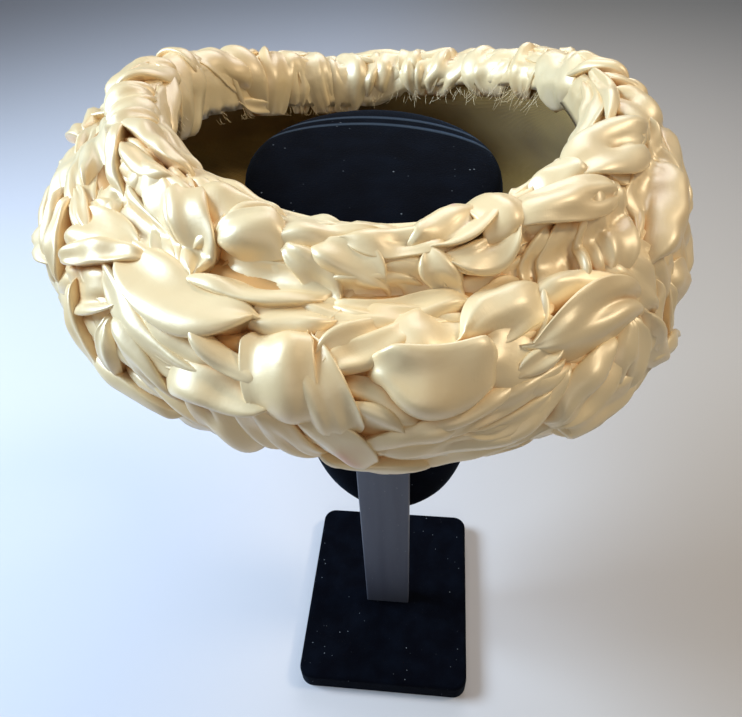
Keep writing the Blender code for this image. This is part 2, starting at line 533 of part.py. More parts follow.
def block(name, low, high, corner, edge, finish):
    """An upright block with rounded corners and a softened top edge."""
    points = []
    faces = []
    rings = [(low[2], 0.0), (high[2] - edge, 0.0), (high[2] - 0.3 * edge, 0.3 * edge), (high[2], edge)]
    corners = [(high[0], high[1], 0), (low[0], high[1], 1), (low[0], low[1], 2), (high[0], low[1], 3)]
    steps = 5 if corner > 2 else 2
    for height, inset in rings:
        for x, y, quarter in corners:
            radius = max(corner - inset, 0.2)
            centre_x = x - corner if x == high[0] else x + corner
            centre_y = y - corner if y == high[1] else y + corner
            for index in range(steps):
                angle = (quarter + index / (steps - 1)) * pi / 2
                points.append((centre_x + radius * cos(angle), centre_y + radius * sin(angle), height))
    ring = 4 * steps
    faces.append(tuple(reversed(range(ring))))
    for row in range(len(rings) - 1):
        for index in range(ring):
            following = (index + 1) % ring
            faces.append((row * ring + index, row * ring + following,
                          (row + 1) * ring + following, (row + 1) * ring + index))
    faces.append(tuple(range((len(rings) - 1) * ring, len(rings) * ring)))
    return add_object(name, points, faces, finish, 40.0)


def stand():
    velvet = material("black_velvet", (0.012, 0.013, 0.020), 0.95, 0.4)
    painted = material("grey_post", (0.075, 0.085, 0.115), 0.45)
    half_width = BASE_WIDTH / 2
    half_depth = BASE_DEPTH / 2
    block("stand_base", (-half_width, -half_depth, 0.0), (half_width, half_depth, BASE_THICKNESS),
          BASE_CORNER, BASE_EDGE, velvet)
    block("stand_post", (-POST_WIDTH / 2, POST_FRONT, BASE_THICKNESS + GAP),
          (POST_WIDTH / 2, POST_FRONT + POST_THICKNESS, POST_TOP), 1.0, 0.6, painted)
    neck_bust(velvet)


def hat():
    satin = material("ivory_satin", (0.80, 0.70, 0.52), 0.32, 0.3)
    backing = material("tan_foundation_cloth", (0.42, 0.33, 0.17), 0.9)
    wall = Wall()
    plain = {row: sum((plain_plait(stretch) for stretch in stretches), [])
             for row, stretches in PLAIN_STRETCHES.items()}
    folds = UPPER_FOLDS + MIDDLE_FOLDS + LOWER_FOLDS + TURNING_FOLDS
    foundation(backing)
    folded_ring("rim_turning", wall, TURNING_FOLDS + UPPER_FOLDS, TURNING_COLUMNS, TURNING_STEPS,
                TURNING_END, RIM_LINE, TURNING_BED, TURNING_KNEE, satin)
    folded_ring("plait_upper", wall, folds + plain["upper"] + plain["middle"], ROW_COLUMNS, ROW_STEPS,
                RIM_LINE, UPPER_LINE, BED_DEPTH, ROW_KNEE, satin)
    folded_ring("plait_middle", wall, folds + plain["middle"] + plain["upper"] + plain["lower"],
                ROW_COLUMNS, ROW_STEPS, UPPER_LINE, MIDDLE_LINE, BED_DEPTH, ROW_KNEE, satin)
    folded_ring("plait_lower", wall, folds + plain["lower"] + plain["middle"] + plain["under"],
                ROW_COLUMNS, ROW_STEPS, MIDDLE_LINE, LOWER_LINE, BED_DEPTH, ROW_KNEE, satin)
    folded_ring("plait_under", wall, folds + plain["under"] + plain["lower"], ROW_COLUMNS, ROW_STEPS,
                LOWER_LINE, UNDER_END, BED_DEPTH, ROW_KNEE, satin)


clear_scene()
stand()
hat()
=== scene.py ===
"""Looks of a crownless ring hat of plaited satin on a velvet neck bust, post and base.

Everything is in the row frame, in metres, +Z up, with the origin under the base. The hat's
cloth is laid out in its own two coordinates: a bearing in degrees round it from the front,
growing to the viewer's right, and a drop in millimetres of cloth down from the rim's crest,
negative on the inside of the rim. Each fold of satin is a puffed strip on that sheet.
"""
from collections import namedtuple
from math import cos, pi, radians, sin, sqrt

import bmesh
import bpy
import numpy as np
from mathutils import Matrix, Vector


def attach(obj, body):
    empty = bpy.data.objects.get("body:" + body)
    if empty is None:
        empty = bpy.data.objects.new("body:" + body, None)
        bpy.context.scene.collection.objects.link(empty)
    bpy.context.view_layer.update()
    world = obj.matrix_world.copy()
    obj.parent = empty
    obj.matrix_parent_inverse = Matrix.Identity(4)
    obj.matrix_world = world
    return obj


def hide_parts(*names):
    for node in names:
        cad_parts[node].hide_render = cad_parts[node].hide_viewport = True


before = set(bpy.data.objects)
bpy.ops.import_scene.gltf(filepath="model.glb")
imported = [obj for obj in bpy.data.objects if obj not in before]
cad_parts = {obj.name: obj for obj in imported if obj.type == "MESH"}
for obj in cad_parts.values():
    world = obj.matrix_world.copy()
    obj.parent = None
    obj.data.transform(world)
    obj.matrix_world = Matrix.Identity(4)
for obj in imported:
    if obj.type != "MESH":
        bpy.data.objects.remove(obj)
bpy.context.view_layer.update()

MM = 0.001
SEED = 11

# Stand, in millimetres.
BASE_WIDTH = 115.0
BASE_DEPTH = 134.0
BASE_THICKNESS = 15.0
BASE_CORNER = 9.0
BASE_EDGE = 2.5
POST_WIDTH = 30.5
POST_THICKNESS = 10.0
POST_FRONT = -9.4
POST_TOP = 262.0
POST_FOOT = 15.3
POST_EDGE = 1.0
SHARP_ANGLE = 50.0
BUST_LEAN = 2.7
BUST_SIDES = 72

# One row for each level of the bust: its half width, and how far it reaches towards the
# viewer (near) and away (far) from the middle of the base. Roundness is 1 for an oval level
# and less for a squarer one.
Level = namedtuple("Level", "height half_width near far roundness", defaults=(0.85,))
BUST_LEVELS = [
    Level(123.0, 12.0, 7.0, 20.0),
    Level(125.0, 25.0, 1.0, 30.0),
    Level(134.0, 37.0, 1.0, 40.0),
    Level(150.0, 45.0, 1.0, 47.0),
    Level(172.0, 50.0, 1.0, 52.0),
    Level(205.0, 59.0, 1.0, 57.0),
    Level(240.0, 71.0, 1.0, 62.0),
    Level(263.0, 81.0, 1.0, 66.0),
    Level(279.0, 89.0, -22.0, 66.0),
    Level(295.0, 89.0, -36.0, 64.0),
    Level(305.0, 78.0, -44.0, 62.0),
    Level(317.0, 62.0, -50.0, 60.0),
    Level(332.0, 51.0, -52.0, 58.0, 1.0),
    Level(352.0, 50.0, -51.5, 58.0, 1.0),
    Level(357.0, 46.5, -47.0, 54.0, 1.0),
    Level(358.5, 37.0, -37.0, 44.0, 1.0),
]

# Hat: where it sits, how it leans, and its sizes at the front, right, back and left.
HAT_CENTRE = (-1.4, 2.8, 301.0)
HAT_TURN = 7.5
LEAN_BACK = 11.0
LEAN_RIGHT = 2.4
OVAL = 1.24
EDGE_RADIUS = 76.0
ROLL_MIDDLE = 85.5
ROLL_RADIUS = 13.5
LIP_DEPTH = 15.0
ROLL_POINTS = 37
Quarters = namedtuple("Quarters", "front right back left")
RIM_HEIGHT = Quarters(69.0, 91.0, 80.0, 90.0)
BELLY_HEIGHT = Quarters(31.0, 10.0, 22.0, 36.0)
BELLY_RADIUS = Quarters(120.0, 117.0, 120.0, 123.0)

# Depths below the hat's outer envelope.
BED_DEPTH = 5.0
TURNING_BED = 3.0
PLAIT_BACK = 8.5
TURNING_BACK = 4.5
FOUNDATION_WALL = 2.0
FOUNDATION_CLEAR = 1.0
LIP_CLEAR = 0.7
FOUNDATION_WAIST = 0.15
FOUNDATION_EASE = 1.0
RUMPLE_DEPTH = 0.5
RUMPLE_SHIFT = 1.2
RUMPLE_LENGTH = 34.0
RUMPLE_FADE = 12.0

# Rows of plait, from the rim down, by drop.
TURNING_END = -28.0
RIM_LINE = -9.0
UPPER_LINE = 29.0
MIDDLE_LINE = 59.0
LOWER_LINE = 92.0
UNDER_END = 130.0

# A fold runs from end a to end b. Width is across its middle, bow bends its middle to the
# left of that run, lift is how far its edges stand off the bed, crown is its puff, and
# end_a and end_b are the widths of its ends as a share of its width. Pleats is how many
# lengthwise creases gather it. Troughs is how many deep soft hollows run in from its ends, or
# as its width suggests if -1. Tilt is how far its left edge stands above its right.
Fold = namedtuple("Fold", "bearing_a drop_a bearing_b drop_b width bow lift crown end_a end_b"
                  " pleats troughs tilt", defaults=(0, -1, 0.0))

UPPER_FOLDS = [Fold(*row) for row in (
    (-21, -2, -8, 0, 9, 1, 2.5, 3.5, 0.5, 0.3, 1),
    (-18.5, 10.5, -2, 3, 9, 1.5, 3.5, 3, 1, 0.2, 1),
    (6, 3, -7.5, 8.5, 14, 0, 3.5, 2.5, 1.2, 0.1, 2),
    (5, 14, -4, 15, 8, -1, 2, 2, 0.8, 0.3),
    (5, 8, 15.5, -4, 16, 0, 4, 5, 0.6, 0.9, 3),
    (18, -14, 17.3, 11, 10, 0, 5.5, 2, 1, 0.9),
    (19.5, 9, 8, 15, 10, 4, 4, 3.5, 0.7, 0.4, 2),
    (19.8, 15.5, 7, 14, 4.5, 4, 4, 2, 0.6, 0.4),
    (21, 20, 8, 23, 5, 3, 3.5, 2.5, 0.6, 0.4),
    (6, 12, 9, 24, 8, -1, 4, 3, 0.5, 0.7),
    (-2.5, 18, 8, 24, 8, 2, 3, 3, 0.4, 0.2),
    (-10, 12, -1.5, 21.5, 10.5, 1.5, 4.2, 2.8, 0.8, 0.35, 0, 0),
    (-15, 14, -7.5, 25, 9, 1, 3.8, 2.6, 0.7, 0.3, 0, 0),
    (-9, 21.5, 4, 25, 9, 0, 2.8, 2.5, 0.6, 0.6, 0, 0),
    (-7.5, 25.5, 10, 27, 7, -2, 4.5, 2.5, 0.6, 0.6, 0, 0),
    (-13, 27, 7, 30.5, 8, -1, 3.8, 2.5, 0.5, 0.6, 0, 0),
    (4, 28, 18, 26.5, 8, -1, 2.5, 2.5, 0.5, 0.6, 1),
    (-40, 20, -31, 27, 9, 0, 2.5, 2.5, 0.6, 0.6, 1),
    (-55, 17, -46, 22, 10, 0, 2.5, 2.5, 0.6, 0.6, 1),
    (-22, 27.5, -12, 31, 8, 0, 0.6, 2, 0.6, 0.5, 1),
    (-29, 26.5, -9, 23.5, 11, -1, 4.5, 2.4, 0.8, 0.25, 0, 0),
    (-43, 12, -29.5, 30.5, 11, 1, 4.8, 3.2, 0.85, 0.15, 1, 0),
    (-35.5, 8, -28, 30, 12, 1.5, 5.8, 3.2, 0.9, 0.15, 1, 0),
    (-53, 27, -45.5, 8, 12, -1, 3.5, 3.5, 0.6, 0.6),
    (41, 14, 36, 31, 11, 0, 3, 3, 0.7, 0.6),
    (-26, 17, -17.5, 11, 12, 0, 4.8, 2.8, 0.6, 1, 0, 0),
    (-26, 13, -20, 2, 9, 0, 2.5, 2.5, 0.4, 0.6, 2),
    (-33.5, 13, -23.5, 2, 13, 2.5, 4, 3, 0.2, 0.5, 0, 0),
    (-39, -7, -21, -5, 9, 0, 2.5, 3, 0.5, 0.5),
    (-28, 10, -30.5, 22, 8, 0, 3, 2.5, 0.6, 0.5),
    (-39, 4, -34.5, 12, 8, 0, 2, 2, 0.9, 0.1),
    (-48.5, 21, -31, 31, 9.5, 0, 4.2, 3, 0.8, 0.2, 0, 0),
    (-57, 10, -46, 6, 9, 0, 1, 3, 0.6, 0.6),
    (-61, 4, -41, -3, 11, 3, 4.4, 3.2, 0.7, 0.6, 0, 0),
    (-56, 10, -40, 6, 6.5, -1.5, 4.4, 2.8, 0.5, 0.4, 0, 0),
    (-53, 15.5, -33, 9.5, 10, 0.5, 3.8, 2.8, 0.6, 0.5, 0, 0),
    (-61.5, 10, -47, 27, 9, -1.5, 4.6, 2.8, 0.9, 0.5, 0, 0),
    (-74, 15, -76, -8, 14, 0, 3.8, 3.2, 0.7, 0.8, 1),
    (-66, 12, -64, -8, 13, 0, 4.2, 3.2, 0.7, 0.8, 1),
    (-86, 16, -97, -10, 24, 0, 4, 6, 0.7, 0.7, 2),
    (-88, 20, -74, 32, 13, 0, 2.5, 3, 0.5, 0.6, 3),
    (-74, 16, -60, 28, 9, 0, 4, 3, 0.6, 0.5, 2),
    (-70, 27, -53, 31, 11, -1, 3.5, 2, 0.6, 0.5, 4),
    (25.5, 14, 21, 29, 9, 0, 3, 2.5, 0.5, 0.6),
    (20, 10, 21.5, 20, 6, 0, 3, 2.5, 0.5, 0.5),
    (21.5, 5, 41, 16, 12, 1, 6, 3, 0.9, 0.5, 2),
    (21.5, 11.5, 30, 11, 8, -1, 2.5, 3, 0.4, 0.4),
    (31, -9, 37, 3, 11, 0, 3, 2.5, 0.5, 0.6),
    (38, -4, 59, 14, 20, 2, 4.5, 5, 0.7, 0.7, 1),
    (68, -7, 66, 19, 18, 0, 4, 5, 0.4, 0.9, 1),
    (99, -12, 87, 11, 18, 0, 4, 5.5, 0.6, 0.7, 2),
    (83, -4, 79, 13, 9, 0, 3.5, 3, 0.6, 0.6),
    (80, 6, 75, 22, 10, 0, 3, 3.5, 0.6, 0.6),
    (65, 14, 60, 30, 6, 0, 4.5, 2.5, 0.5, 0.5),
    (71, 18, 63, 36, 10, 0, 3, 3, 0.6, 0.6),
    (58, 21, 42, 37, 16, 0, 5, 4, 0.8, 0.5, 1),
    (31, 13, 24, 31, 11, 0, 3.6, 2.5, 0.5, 1, 1),
    (32.5, 12, 29, 31, 4, 0, 4.5, 3, 0.5, 0.8),
    (38, 13, 34, 32, 15, 0, 5, 3, 0.9, 0.8, 1),
    (-64, -8, -42, -10, 9, 0, 2.5, 3, 0.6, 0.5, 2),
)]

MIDDLE_FOLDS = [Fold(*row) for row in (
    (-39, 34, -17.5, 34.5, 16.5, -2.5, 5.6, 2.8, 0.7, 0.2, 0, 0),
    (-50, 48, -37, 32, 6.5, 1, 6, 2.5, 0.4, 0.7),
    (-50, 53, -37, 45, 13, 0, 3, 1.5, 0.7, 0.6, 1),
    (-52, 40, -38, 30, 13, 1.5, 4.2, 3.5, 0.8, 0.15, 0, 0),
    (-77, 32, -58, 45, 19, 0, 2.5, 3.5, 0.6, 0.7, 3),
    (-60, 34, -48, 36, 7, 0, 4, 2.5, 0.5, 0.3, 2),
    (-58, 37, -54, 58, 8, 0, 4, 3.5, 0.6, 0.6),
    (-63, 39, -58, 62, 8, 0, 4, 4, 0.6, 0.6),
    (-36.5, 40, -21.5, 50, 13, -1, 3.6, 2.8, 0.9, 0.6, 0, 0),
    (-42, 42, -21, 54.5, 8, -4, 4, 2.8, 0.6, 0.5, 0, 0),
    (-23.5, 43, -16, 51.5, 5, -1.5, 5, 4, 0.8, 0.9, 0, 0),
    (-13.8, 41, -12.3, 59, 14.5, 0, 6.2, 1, 1, 0.8, 0, 0),
    (-9.8, 38, -7, 61.5, 11, -1, 5.2, 2.8, 0.15, 0.95, 1, 0),
    (-18, 36, -7, 30.5, 10.5, 1, 3.5, 3.5, 0.5, 0.15),
    (-4, 29.5, -8.5, 42, 8, 0, 2.5, 1.5, 1, 0.7),
    (-1, 31, -8.3, 43.5, 5.5, -1, 4, 3.5, 0.6, 0.6, 0, 0),
    (2, 32, -7.5, 47, 7.5, 1, 4, 4.5, 0.7, 0.6, 0, 0),
    (3.5, 30, -0.5, 41, 10, 0, 2.5, 2, 1, 0.6),
    (-7, 52, 2, 59, 13, 0, 2, 2.5, 0.8, 0.5),
    (5.3, 29, 5.8, 47, 18, 0, 4, 3, 0.75, 0.95, 0, 0),
    (-1, 45, 10.3, 47, 13, -3.5, 7.8, 3.2, 0.7, 0.8, 0, 0),
    (9.5, 42, 22, 50, 19, 0, 3.5, 3, 0.5, 0.7, 2),
    (8.5, 39, 20, 30, 14, 2, 4.5, 4, 0.2, 0.8, 1),
    (20, 33, 35, 42, 10, 1, 3, 3, 0.8, 0.5, 2),
    (17, 43.5, 36, 48, 14, 2.5, 5, 4.5, 0.15, 0.6, 1),
    (34, 27, 40, 52, 19, 0, 3, 3, 0.8, 0.3, 1),
    (45, 36, 46, 56, 14, 0, 2.5, 3, 0.7, 0.6, 1),
    (62, 28, 50, 43, 10, 0, 2.5, 2.5, 0.7, 0.6),
    (20.5, 29, 17.2, 42, 6, 0, 3, 2.5, 0.6, 0.5),
    (-31, 55, -20, 53, 4, 0, 3.5, 2, 0.5, 0.5),
    (-6, 47, 2, 49, 13, 0, 1, 2, 0.8, 0.7),
    (-6, 56.5, 0.5, 62, 9, 0, 3, 2.5, 0.6, 0.5),
    (15, 50, 20.5, 45.5, 5, 0, 5, 2, 0.6, 0.5),
    (54, 38, 52, 60, 14, 0, 3, 3, 0.6, 0.6, 2),
    (37.5, 51, 38.5, 63, 6, 0, 3.5, 2.5, 0.5, 0.5),
    (42.5, 49, 42, 66, 7, 0, 3.5, 3, 0.5, 0.5),
    (-69, 42, -63, 64, 10, 0, 3, 3.5, 0.6, 0.6, 2),
)]

LOWER_FOLDS = [Fold(*row) for row in (
    (-36, 54, -27, 67, 10, 0, 4, 4, 0.8, 0.5, 1),
    (-38, 55, -37.3, 69, 6, 0, 4, 3, 0.5, 0.6),
    (-47, 54, -39, 77, 7, -2, 4, 4, 0.6, 0.6),
    (-43, 71, -30, 79, 9, 0, 4, 4, 0.6, 0.6),
    (-26.5, 58, -14.5, 56.5, 8, 1, 5, 2.8, 1, 0.5, 0, 0),
    (-30, 63, -19, 72, 8, 0, 2.5, 2.5, 0.6, 0.6),
    (-23.5, 59, -17, 78, 13, 0, 3, 3, 0.7, 0.7),
    (-17.8, 56, -13, 75, 9, 0, 3, 3, 0.5, 0.6),
    (-16.3, 57, -9, 78, 7, 0, 4, 3, 0.5, 0.6),
    (-11, 61, -3.5, 77, 15, 0, 3.5, 3.5, 0.6, 0.6, 1),
    (-5, 70, 8, 61, 9, 0, 3, 3.5, 0.4, 0.6),
    (-2, 73, 17, 66.5, 15, -1, 2.5, 3.5, 0.6, 0.7, 2),
    (-8, 80, 4, 83, 12, -1, 4.5, 4, 0.5, 0.5, 1),
    (4, 63, 21, 51.5, 6, 1, 3.5, 3, 0.5, 0.5),
    (11.5, 66.5, 21.5, 54, 10, 0, 3, 3.5, 0.6, 0.6, 1),
    (30, 54.5, 21, 67, 13, 0, 4.5, 4, 0.7, 0.5, 2),
    (34, 52, 33, 67, 12, 0, 4.5, 4, 0.7, 0.7, 2),
    (37, 66, 23, 75, 11, 0, 3, 4, 0.6, 0.6, 2),
    (0.5, 61.5, 14, 52, 5.5, 0, 4, 2.5, 0.5, 0.5),
    (8.5, 63, 19, 59, 5, -2, 3.5, 2.5, 0.5, 0.5),
    (3, 81, 14, 77, 9, 0, 3, 3, 0.5, 0.6, 1),
    (24, 74, 33, 80, 10, 0, 2.5, 3, 0.6, 0.6, 1),
)]

# Gathers of the satin turned over the rim, at the back of the opening.
TURNING_FOLDS = [Fold(*row) for row in (
    (-92, -8, -76, -24, 12, 0, 2.5, 2.5, 0.7, 0.7, 1),
    (-104, 7, -97, -33.5, 23, 2.5, 2.5, 4.5, 0.7, 0.8, 1),
    (-112, 7.5, -131, -24, 18.5, 0, 3, 3.5, 0.5, 0.6, 1),
    (-128, 8.5, -136, -36, 17.5, -2.5, 3, 4.5, 0.7, 0.7, 1),
    (-146, 6.5, -141, -36, 14, 0.5, 4, 4.5, 0.6, 0.8, 1),
    (-150, 4, -153, -33.5, 16, 2.5, 2.5, 4, 0.7, 0.7, 1),
    (-158, 8, -163, -33.5, 15, -2, 2.5, 4.5, 0.7, 0.8, 1),
    (-170, 7, -171, -33.5, 14.5, 2, 2.5, 3.5, 0.7, 0.8, 1),
    (171, 5, 172, -24.5, 16, 2, 2.5, 4, 0.8, 0.9, 1),
    (162, 5.5, 160, -24.5, 19, 1, 3, 4, 0.6, 0.8, 1),
    (149, 5, 154, -24.5, 16, 3, 2.5, 4.5, 0.6, 0.8, 1),
    (134, 8.5, 134, -24.5, 23.5, -2, 2.5, 3.5, 0.8, 0.9, 2),
    (120, 4.5, 119, -24.5, 15.5, 0.5, 2.5, 4, 0.7, 0.8, 1),
    (105, 4, 100, -24.5, 25.5, -1, 2.5, 4, 0.7, 0.8, 1),
    (86, -12, 50, -14, 13, 0, 2.5, 4, 0.5, 0.5, 1),
    (47, -18, 28, -13, 8, 0, 2, 3, 0.6, 0.6),
    (86, -7, 57, -3, 5, 0, 4.5, 3, 0.5, 0.5),
    (28, -12, 47, -18, 7, 3, 3, 3, 0.5, 0.5),
    (180, 8, 182, -27.5, 11, 0, 3, 4, 0.6, 0.7, 1),
    (-128, -30, -141, -36, 6, 0, 3, 2.5, 0.5, 0.5),
)]

# Stretches of the plait that no view of the real hat shows repeat the folds of the front,
# carried round the hat by a shift in degrees: the bearings that are copied, then the shift.
Stretch = namedtuple("Stretch", "first last shift")
REPEATS = {
    "upper": [Stretch(-47, 41, 147), Stretch(-42, 41, 234)],
    "middle": [Stretch(-56, 47, 117), Stretch(-51, 47, 217), Stretch(-51, -33, 318)],
    "lower": [Stretch(-44, 36, 85), Stretch(-44, 36, 168),
              Stretch(-44, 22, 250), Stretch(-44, -20, 318)],
}
REPEAT_JITTER = 1.2
UNDER_PITCH = 8.0
UNDER_MIDDLE = 108.0
UNDER_REACH = 15.0
UNDER_WIDTH = 15.0

# Raw threads: where they start on the hat, how many grow there, and how long they hang.
Fray = namedtuple("Fray", "bearing_first bearing_last drop count length spread")
FRAYS = [
    Fray(-176, -112, -34, 46, 4.0, 1.2),
    Fray(128, 180, -27, 60, 5.0, 1.8),
    Fray(108, 128, -24, 34, 8.0, 3.5),
    Fray(12, 20, -13, 8, 5.0, 2.0),
    Fray(-92, -78, -27, 8, 4.0, 1.5),
]
THREAD_RADIUS = 0.09
THREAD_POINTS = 6
THREAD_SIDES = 3
THREAD_START = -2.6

# Marks on the satin, by bearing, drop and height, with their radius in metres.
Mark = namedtuple("Mark", "bearing drop height radius")
STAIN = Mark(-5.0, 70.0, 0.0, 0.0065)
THREAD_MARK = Mark(11.5, -3.0, 1.0, 0.0016)

# How finely a fold is meshed: millimetres for each step along it, with the least and the most
# steps, and points across its panel.
Grade = namedtuple("Grade", "step least most panel")
FINE = Grade(1.15, 14, 36, 13)
COARSE = Grade(2.0, 10, 24, 8)
PLAIN = Grade(2.8, 8, 12, 6)
FILLER_PITCH = 8.0
BED_COLUMNS = 240
BED_STEP = 2.5
BED_BACK = -4.0

# The form of a fold, in millimetres or in shares: its taper, how it rises from its ends, its
# width against the tables', its puff against their crown, and how flat that puff is.
TAPER_POWER = 0.75
RISE_SHAPE = 5.0
RISE_POWER = 0.85
WIDEN = 1.28
CROWN_SHARE = 0.42
PANEL_POWER = 3.0

# The radius and turns of its rolled edges, and the height and breadth of the upper one's lip.
EDGE_ROLL = 0.6
EDGE_TURNS = (35.0, 65.0, 90.0)
EDGE_LIP = 0.45
LIP_REACH = 1.6

# How far its ends run on under the others, narrow there and tuck in. An end that isn't blunt
# is made slimmer than in the tables.
END_EXTRA = 4.5
END_EXTRA_SHARE = 0.05
END_NARROWING = 0.45
END_TUCK = 1.8
BLUNT_END = 0.78
SLIM_END = 0.75

# How it tilts to lie over its lower neighbours, by their distance and the step between them,
# and how far it strays. A degree of bearing is taken as this many millimetres.
DEGREE = 2.1
SHINGLE = 3.4
SHINGLE_REACH = 24.0
SHINGLE_FADE = 12.0
SHINGLE_STEP = 3.0
SHINGLE_WEIGHT = 0.25
TILT_LIMIT = 5.0
TILT = 1.4
SWAY = 1.6

# Its pleats, dents, grain, troughs and curl, with the sizes from which they are full.
PLEAT_DEPTH = 1.5
PLEAT_SPACE = 6.0
PLEATED_WIDTH = 12.0
DENT_DEPTH = 0.75
DENT_LENGTH = 17.0
GRAIN_DEPTH = 0.05
GRAIN_LENGTH = 5.0
TROUGH_DEPTH = 3.0
TROUGH_WIDTH = 11.0
TWO_TROUGH_WIDTH = 15.0
CURL = 0.9
SMOOTH_CURL = 0.85
WIDE_FOLD = 10.0
LONG_FOLD = 25.0

# Where its underside lies in the middle and how much lower at its ends, how deep a crease may
# go, and how far the rows outside the rim are sunk.
UNDERSIDE = -1.4
END_UNDERSIDE = -0.8
DEEPEST = -2.2
SINK = 1.2

# The cloth between the folds, the painted shade in crevices by their depth, and the cloth's own map.
BED_RUMPLE = 0.5
BED_RUMPLE_LENGTH = 11.0
BED_RUMPLE_FADE = 3.0
CREASE_SHADE = 0.6
CREVICE = (-0.3, 3.8)
WEAVE_UNIT = 0.1

IVORY = (0.95, 0.75, 0.45)
CREAM = (0.93, 0.67, 0.35)
DULL_IVORY = (0.80, 0.66, 0.44)
# Amber painted shade for the satin's crevices.
PAINTED_CREVICE_SHADE = (0.66, 0.33, 0.09)
RUST = (0.70, 0.25, 0.10)
PINK = (0.85, 0.38, 0.40)
TAN = (0.25, 0.15, 0.045)
PALE_TAN = (0.36, 0.23, 0.07)
TAN_THREAD = (0.44, 0.32, 0.12)
VELVET = (0.0010, 0.0013, 0.0035)
VELVET_WORN = (0.003, 0.005, 0.011)
# Painted sheen on the ridges of the neck seams.
PAINTED_SEAM_SHEEN = (0.045, 0.060, 0.085)
VELVET_SHEEN = (0.25, 0.38, 0.62)
LINT = (0.30, 0.33, 0.38)
PAINT = (0.075, 0.080, 0.110)
PALE_PAINT = (0.095, 0.102, 0.135)
SCUFFED_PAINT = (0.35, 0.36, 0.38)
# The floor's pale colour, with a cool painted light at the left and a darker, warmer painted shade at
# the right.
FLOOR = (0.69, 0.70, 0.80)
FLOOR_WARM_SHADE = (0.58, 0.52, 0.48)
ROOM = (0.64, 0.70, 0.76)
ROOM_STRENGTH = 0.20

# Seams round the bust's neck, in metres: how far away each one runs, its curve, its half width
# and the height over which they show. Their ridges are bumped up and carry a painted sheen.
NECK_SEAMS = (0.0423, 0.0355)
SEAM_CURVE = 7.0
SEAM_REACH = (0.0003, 0.0018)
SEAM_HEIGHT = (0.345, 0.352)

# Camera: its turn, how far it looks down and its roll in degrees, its place in metres before
# the turn, and its focal length in pixels of a picture of the photograph's width.
CAMERA_TURN = 7.5
CAMERA_DOWN = 43.7
CAMERA_ROLL = -2.9
CAMERA_PLACE = (-0.0045, -0.228, 0.474)
CAMERA_FOCAL = 640.0
CAMERA_PICTURE = 742.0
CAMERA_SENSOR = 36.0

# Lights: where each disk stands, what it points at, its width in metres and its power.
Light = namedtuple("Light", "name place aim size power colour")
LIGHTS = [
    Light("cool_key", (-0.95, 0.05, 0.98), (0.0, 0.0, 0.33), 0.62, 20.5, (0.64, 0.82, 0.97)),
    Light("warm_side", (0.70, 0.15, 1.05), (0.0, 0.0, 0.33), 0.26, 4.0, (1.0, 0.86, 0.62)),
    Light("front_fill", (0.15, -0.95, 1.05), (0.0, 0.0, 0.30), 0.80, 1.6, (1.0, 0.93, 0.80)),
    Light("back_fill", (0.10, 1.00, 1.10), (0.0, 0.0, 0.30), 0.80, 5.0, (0.93, 0.96, 1.0)),
]


def smoothstep(low, high, value):
    share = np.clip((value - low) / (high - low), 0.0, 1.0)
    return share * share * (3.0 - 2.0 * share)


class Ripple:
    """Smooth seeded unevenness over a plane in millimetres, from a few crossed waves."""

    def __init__(self, rng, wavelength, waves=5):
        angle = rng.uniform(0.0, 2.0 * pi, waves)
        length = wavelength * rng.uniform(0.7, 1.5, waves)
        self.kx = 2.0 * pi * np.cos(angle) / length
        self.ky = 2.0 * pi * np.sin(angle) / length
        self.phase = rng.uniform(0.0, 2.0 * pi, waves)

    def __call__(self, x, y):
        total = 0.0
        for kx, ky, phase in zip(self.kx, self.ky, self.phase):
            total = total + np.sin(kx * x + ky * y + phase)
        return total / sqrt(len(self.kx))


def round_the_hat(sizes, bearing):
    """A size given at the four quarters, blended smoothly at a bearing in radians."""
    mean = (sizes.front + sizes.right + sizes.back + sizes.left) / 4
    fore = (sizes.front - sizes.back) / 2
    side = (sizes.right - sizes.left) / 2
    saddle = (sizes.front + sizes.back - sizes.right - sizes.left) / 4
    return mean + fore * cos(bearing) + side * sin(bearing) + saddle * cos(2 * bearing)


def hat_axes():
    """The hat's own right, away and up directions, in the part's frame."""
    up = np.array([sin(radians(LEAN_RIGHT)), sin(radians(LEAN_BACK)), 0.0])
    up[2] = sqrt(1.0 - up @ up)
    right = np.array([1.0, 0.0, 0.0]) - up * up[0]
    right /= np.linalg.norm(right)
    away = np.cross(up, right)
    turn = radians(HAT_TURN)
    spin = np.array([[cos(turn), -sin(turn), 0], [sin(turn), cos(turn), 0], [0, 0, 1]])
    return spin @ right, spin @ away, spin @ up


HAT_RIGHT, HAT_AWAY, HAT_UP = hat_axes()


def place(bearing, radius, height):
    """A point of the hat from a bearing in radians, and its own radius and height."""
    side = radius * sin(bearing)
    fore = -radius * cos(bearing) * OVAL
    return np.array(HAT_CENTRE) + side * HAT_RIGHT + fore * HAT_AWAY + height * HAT_UP


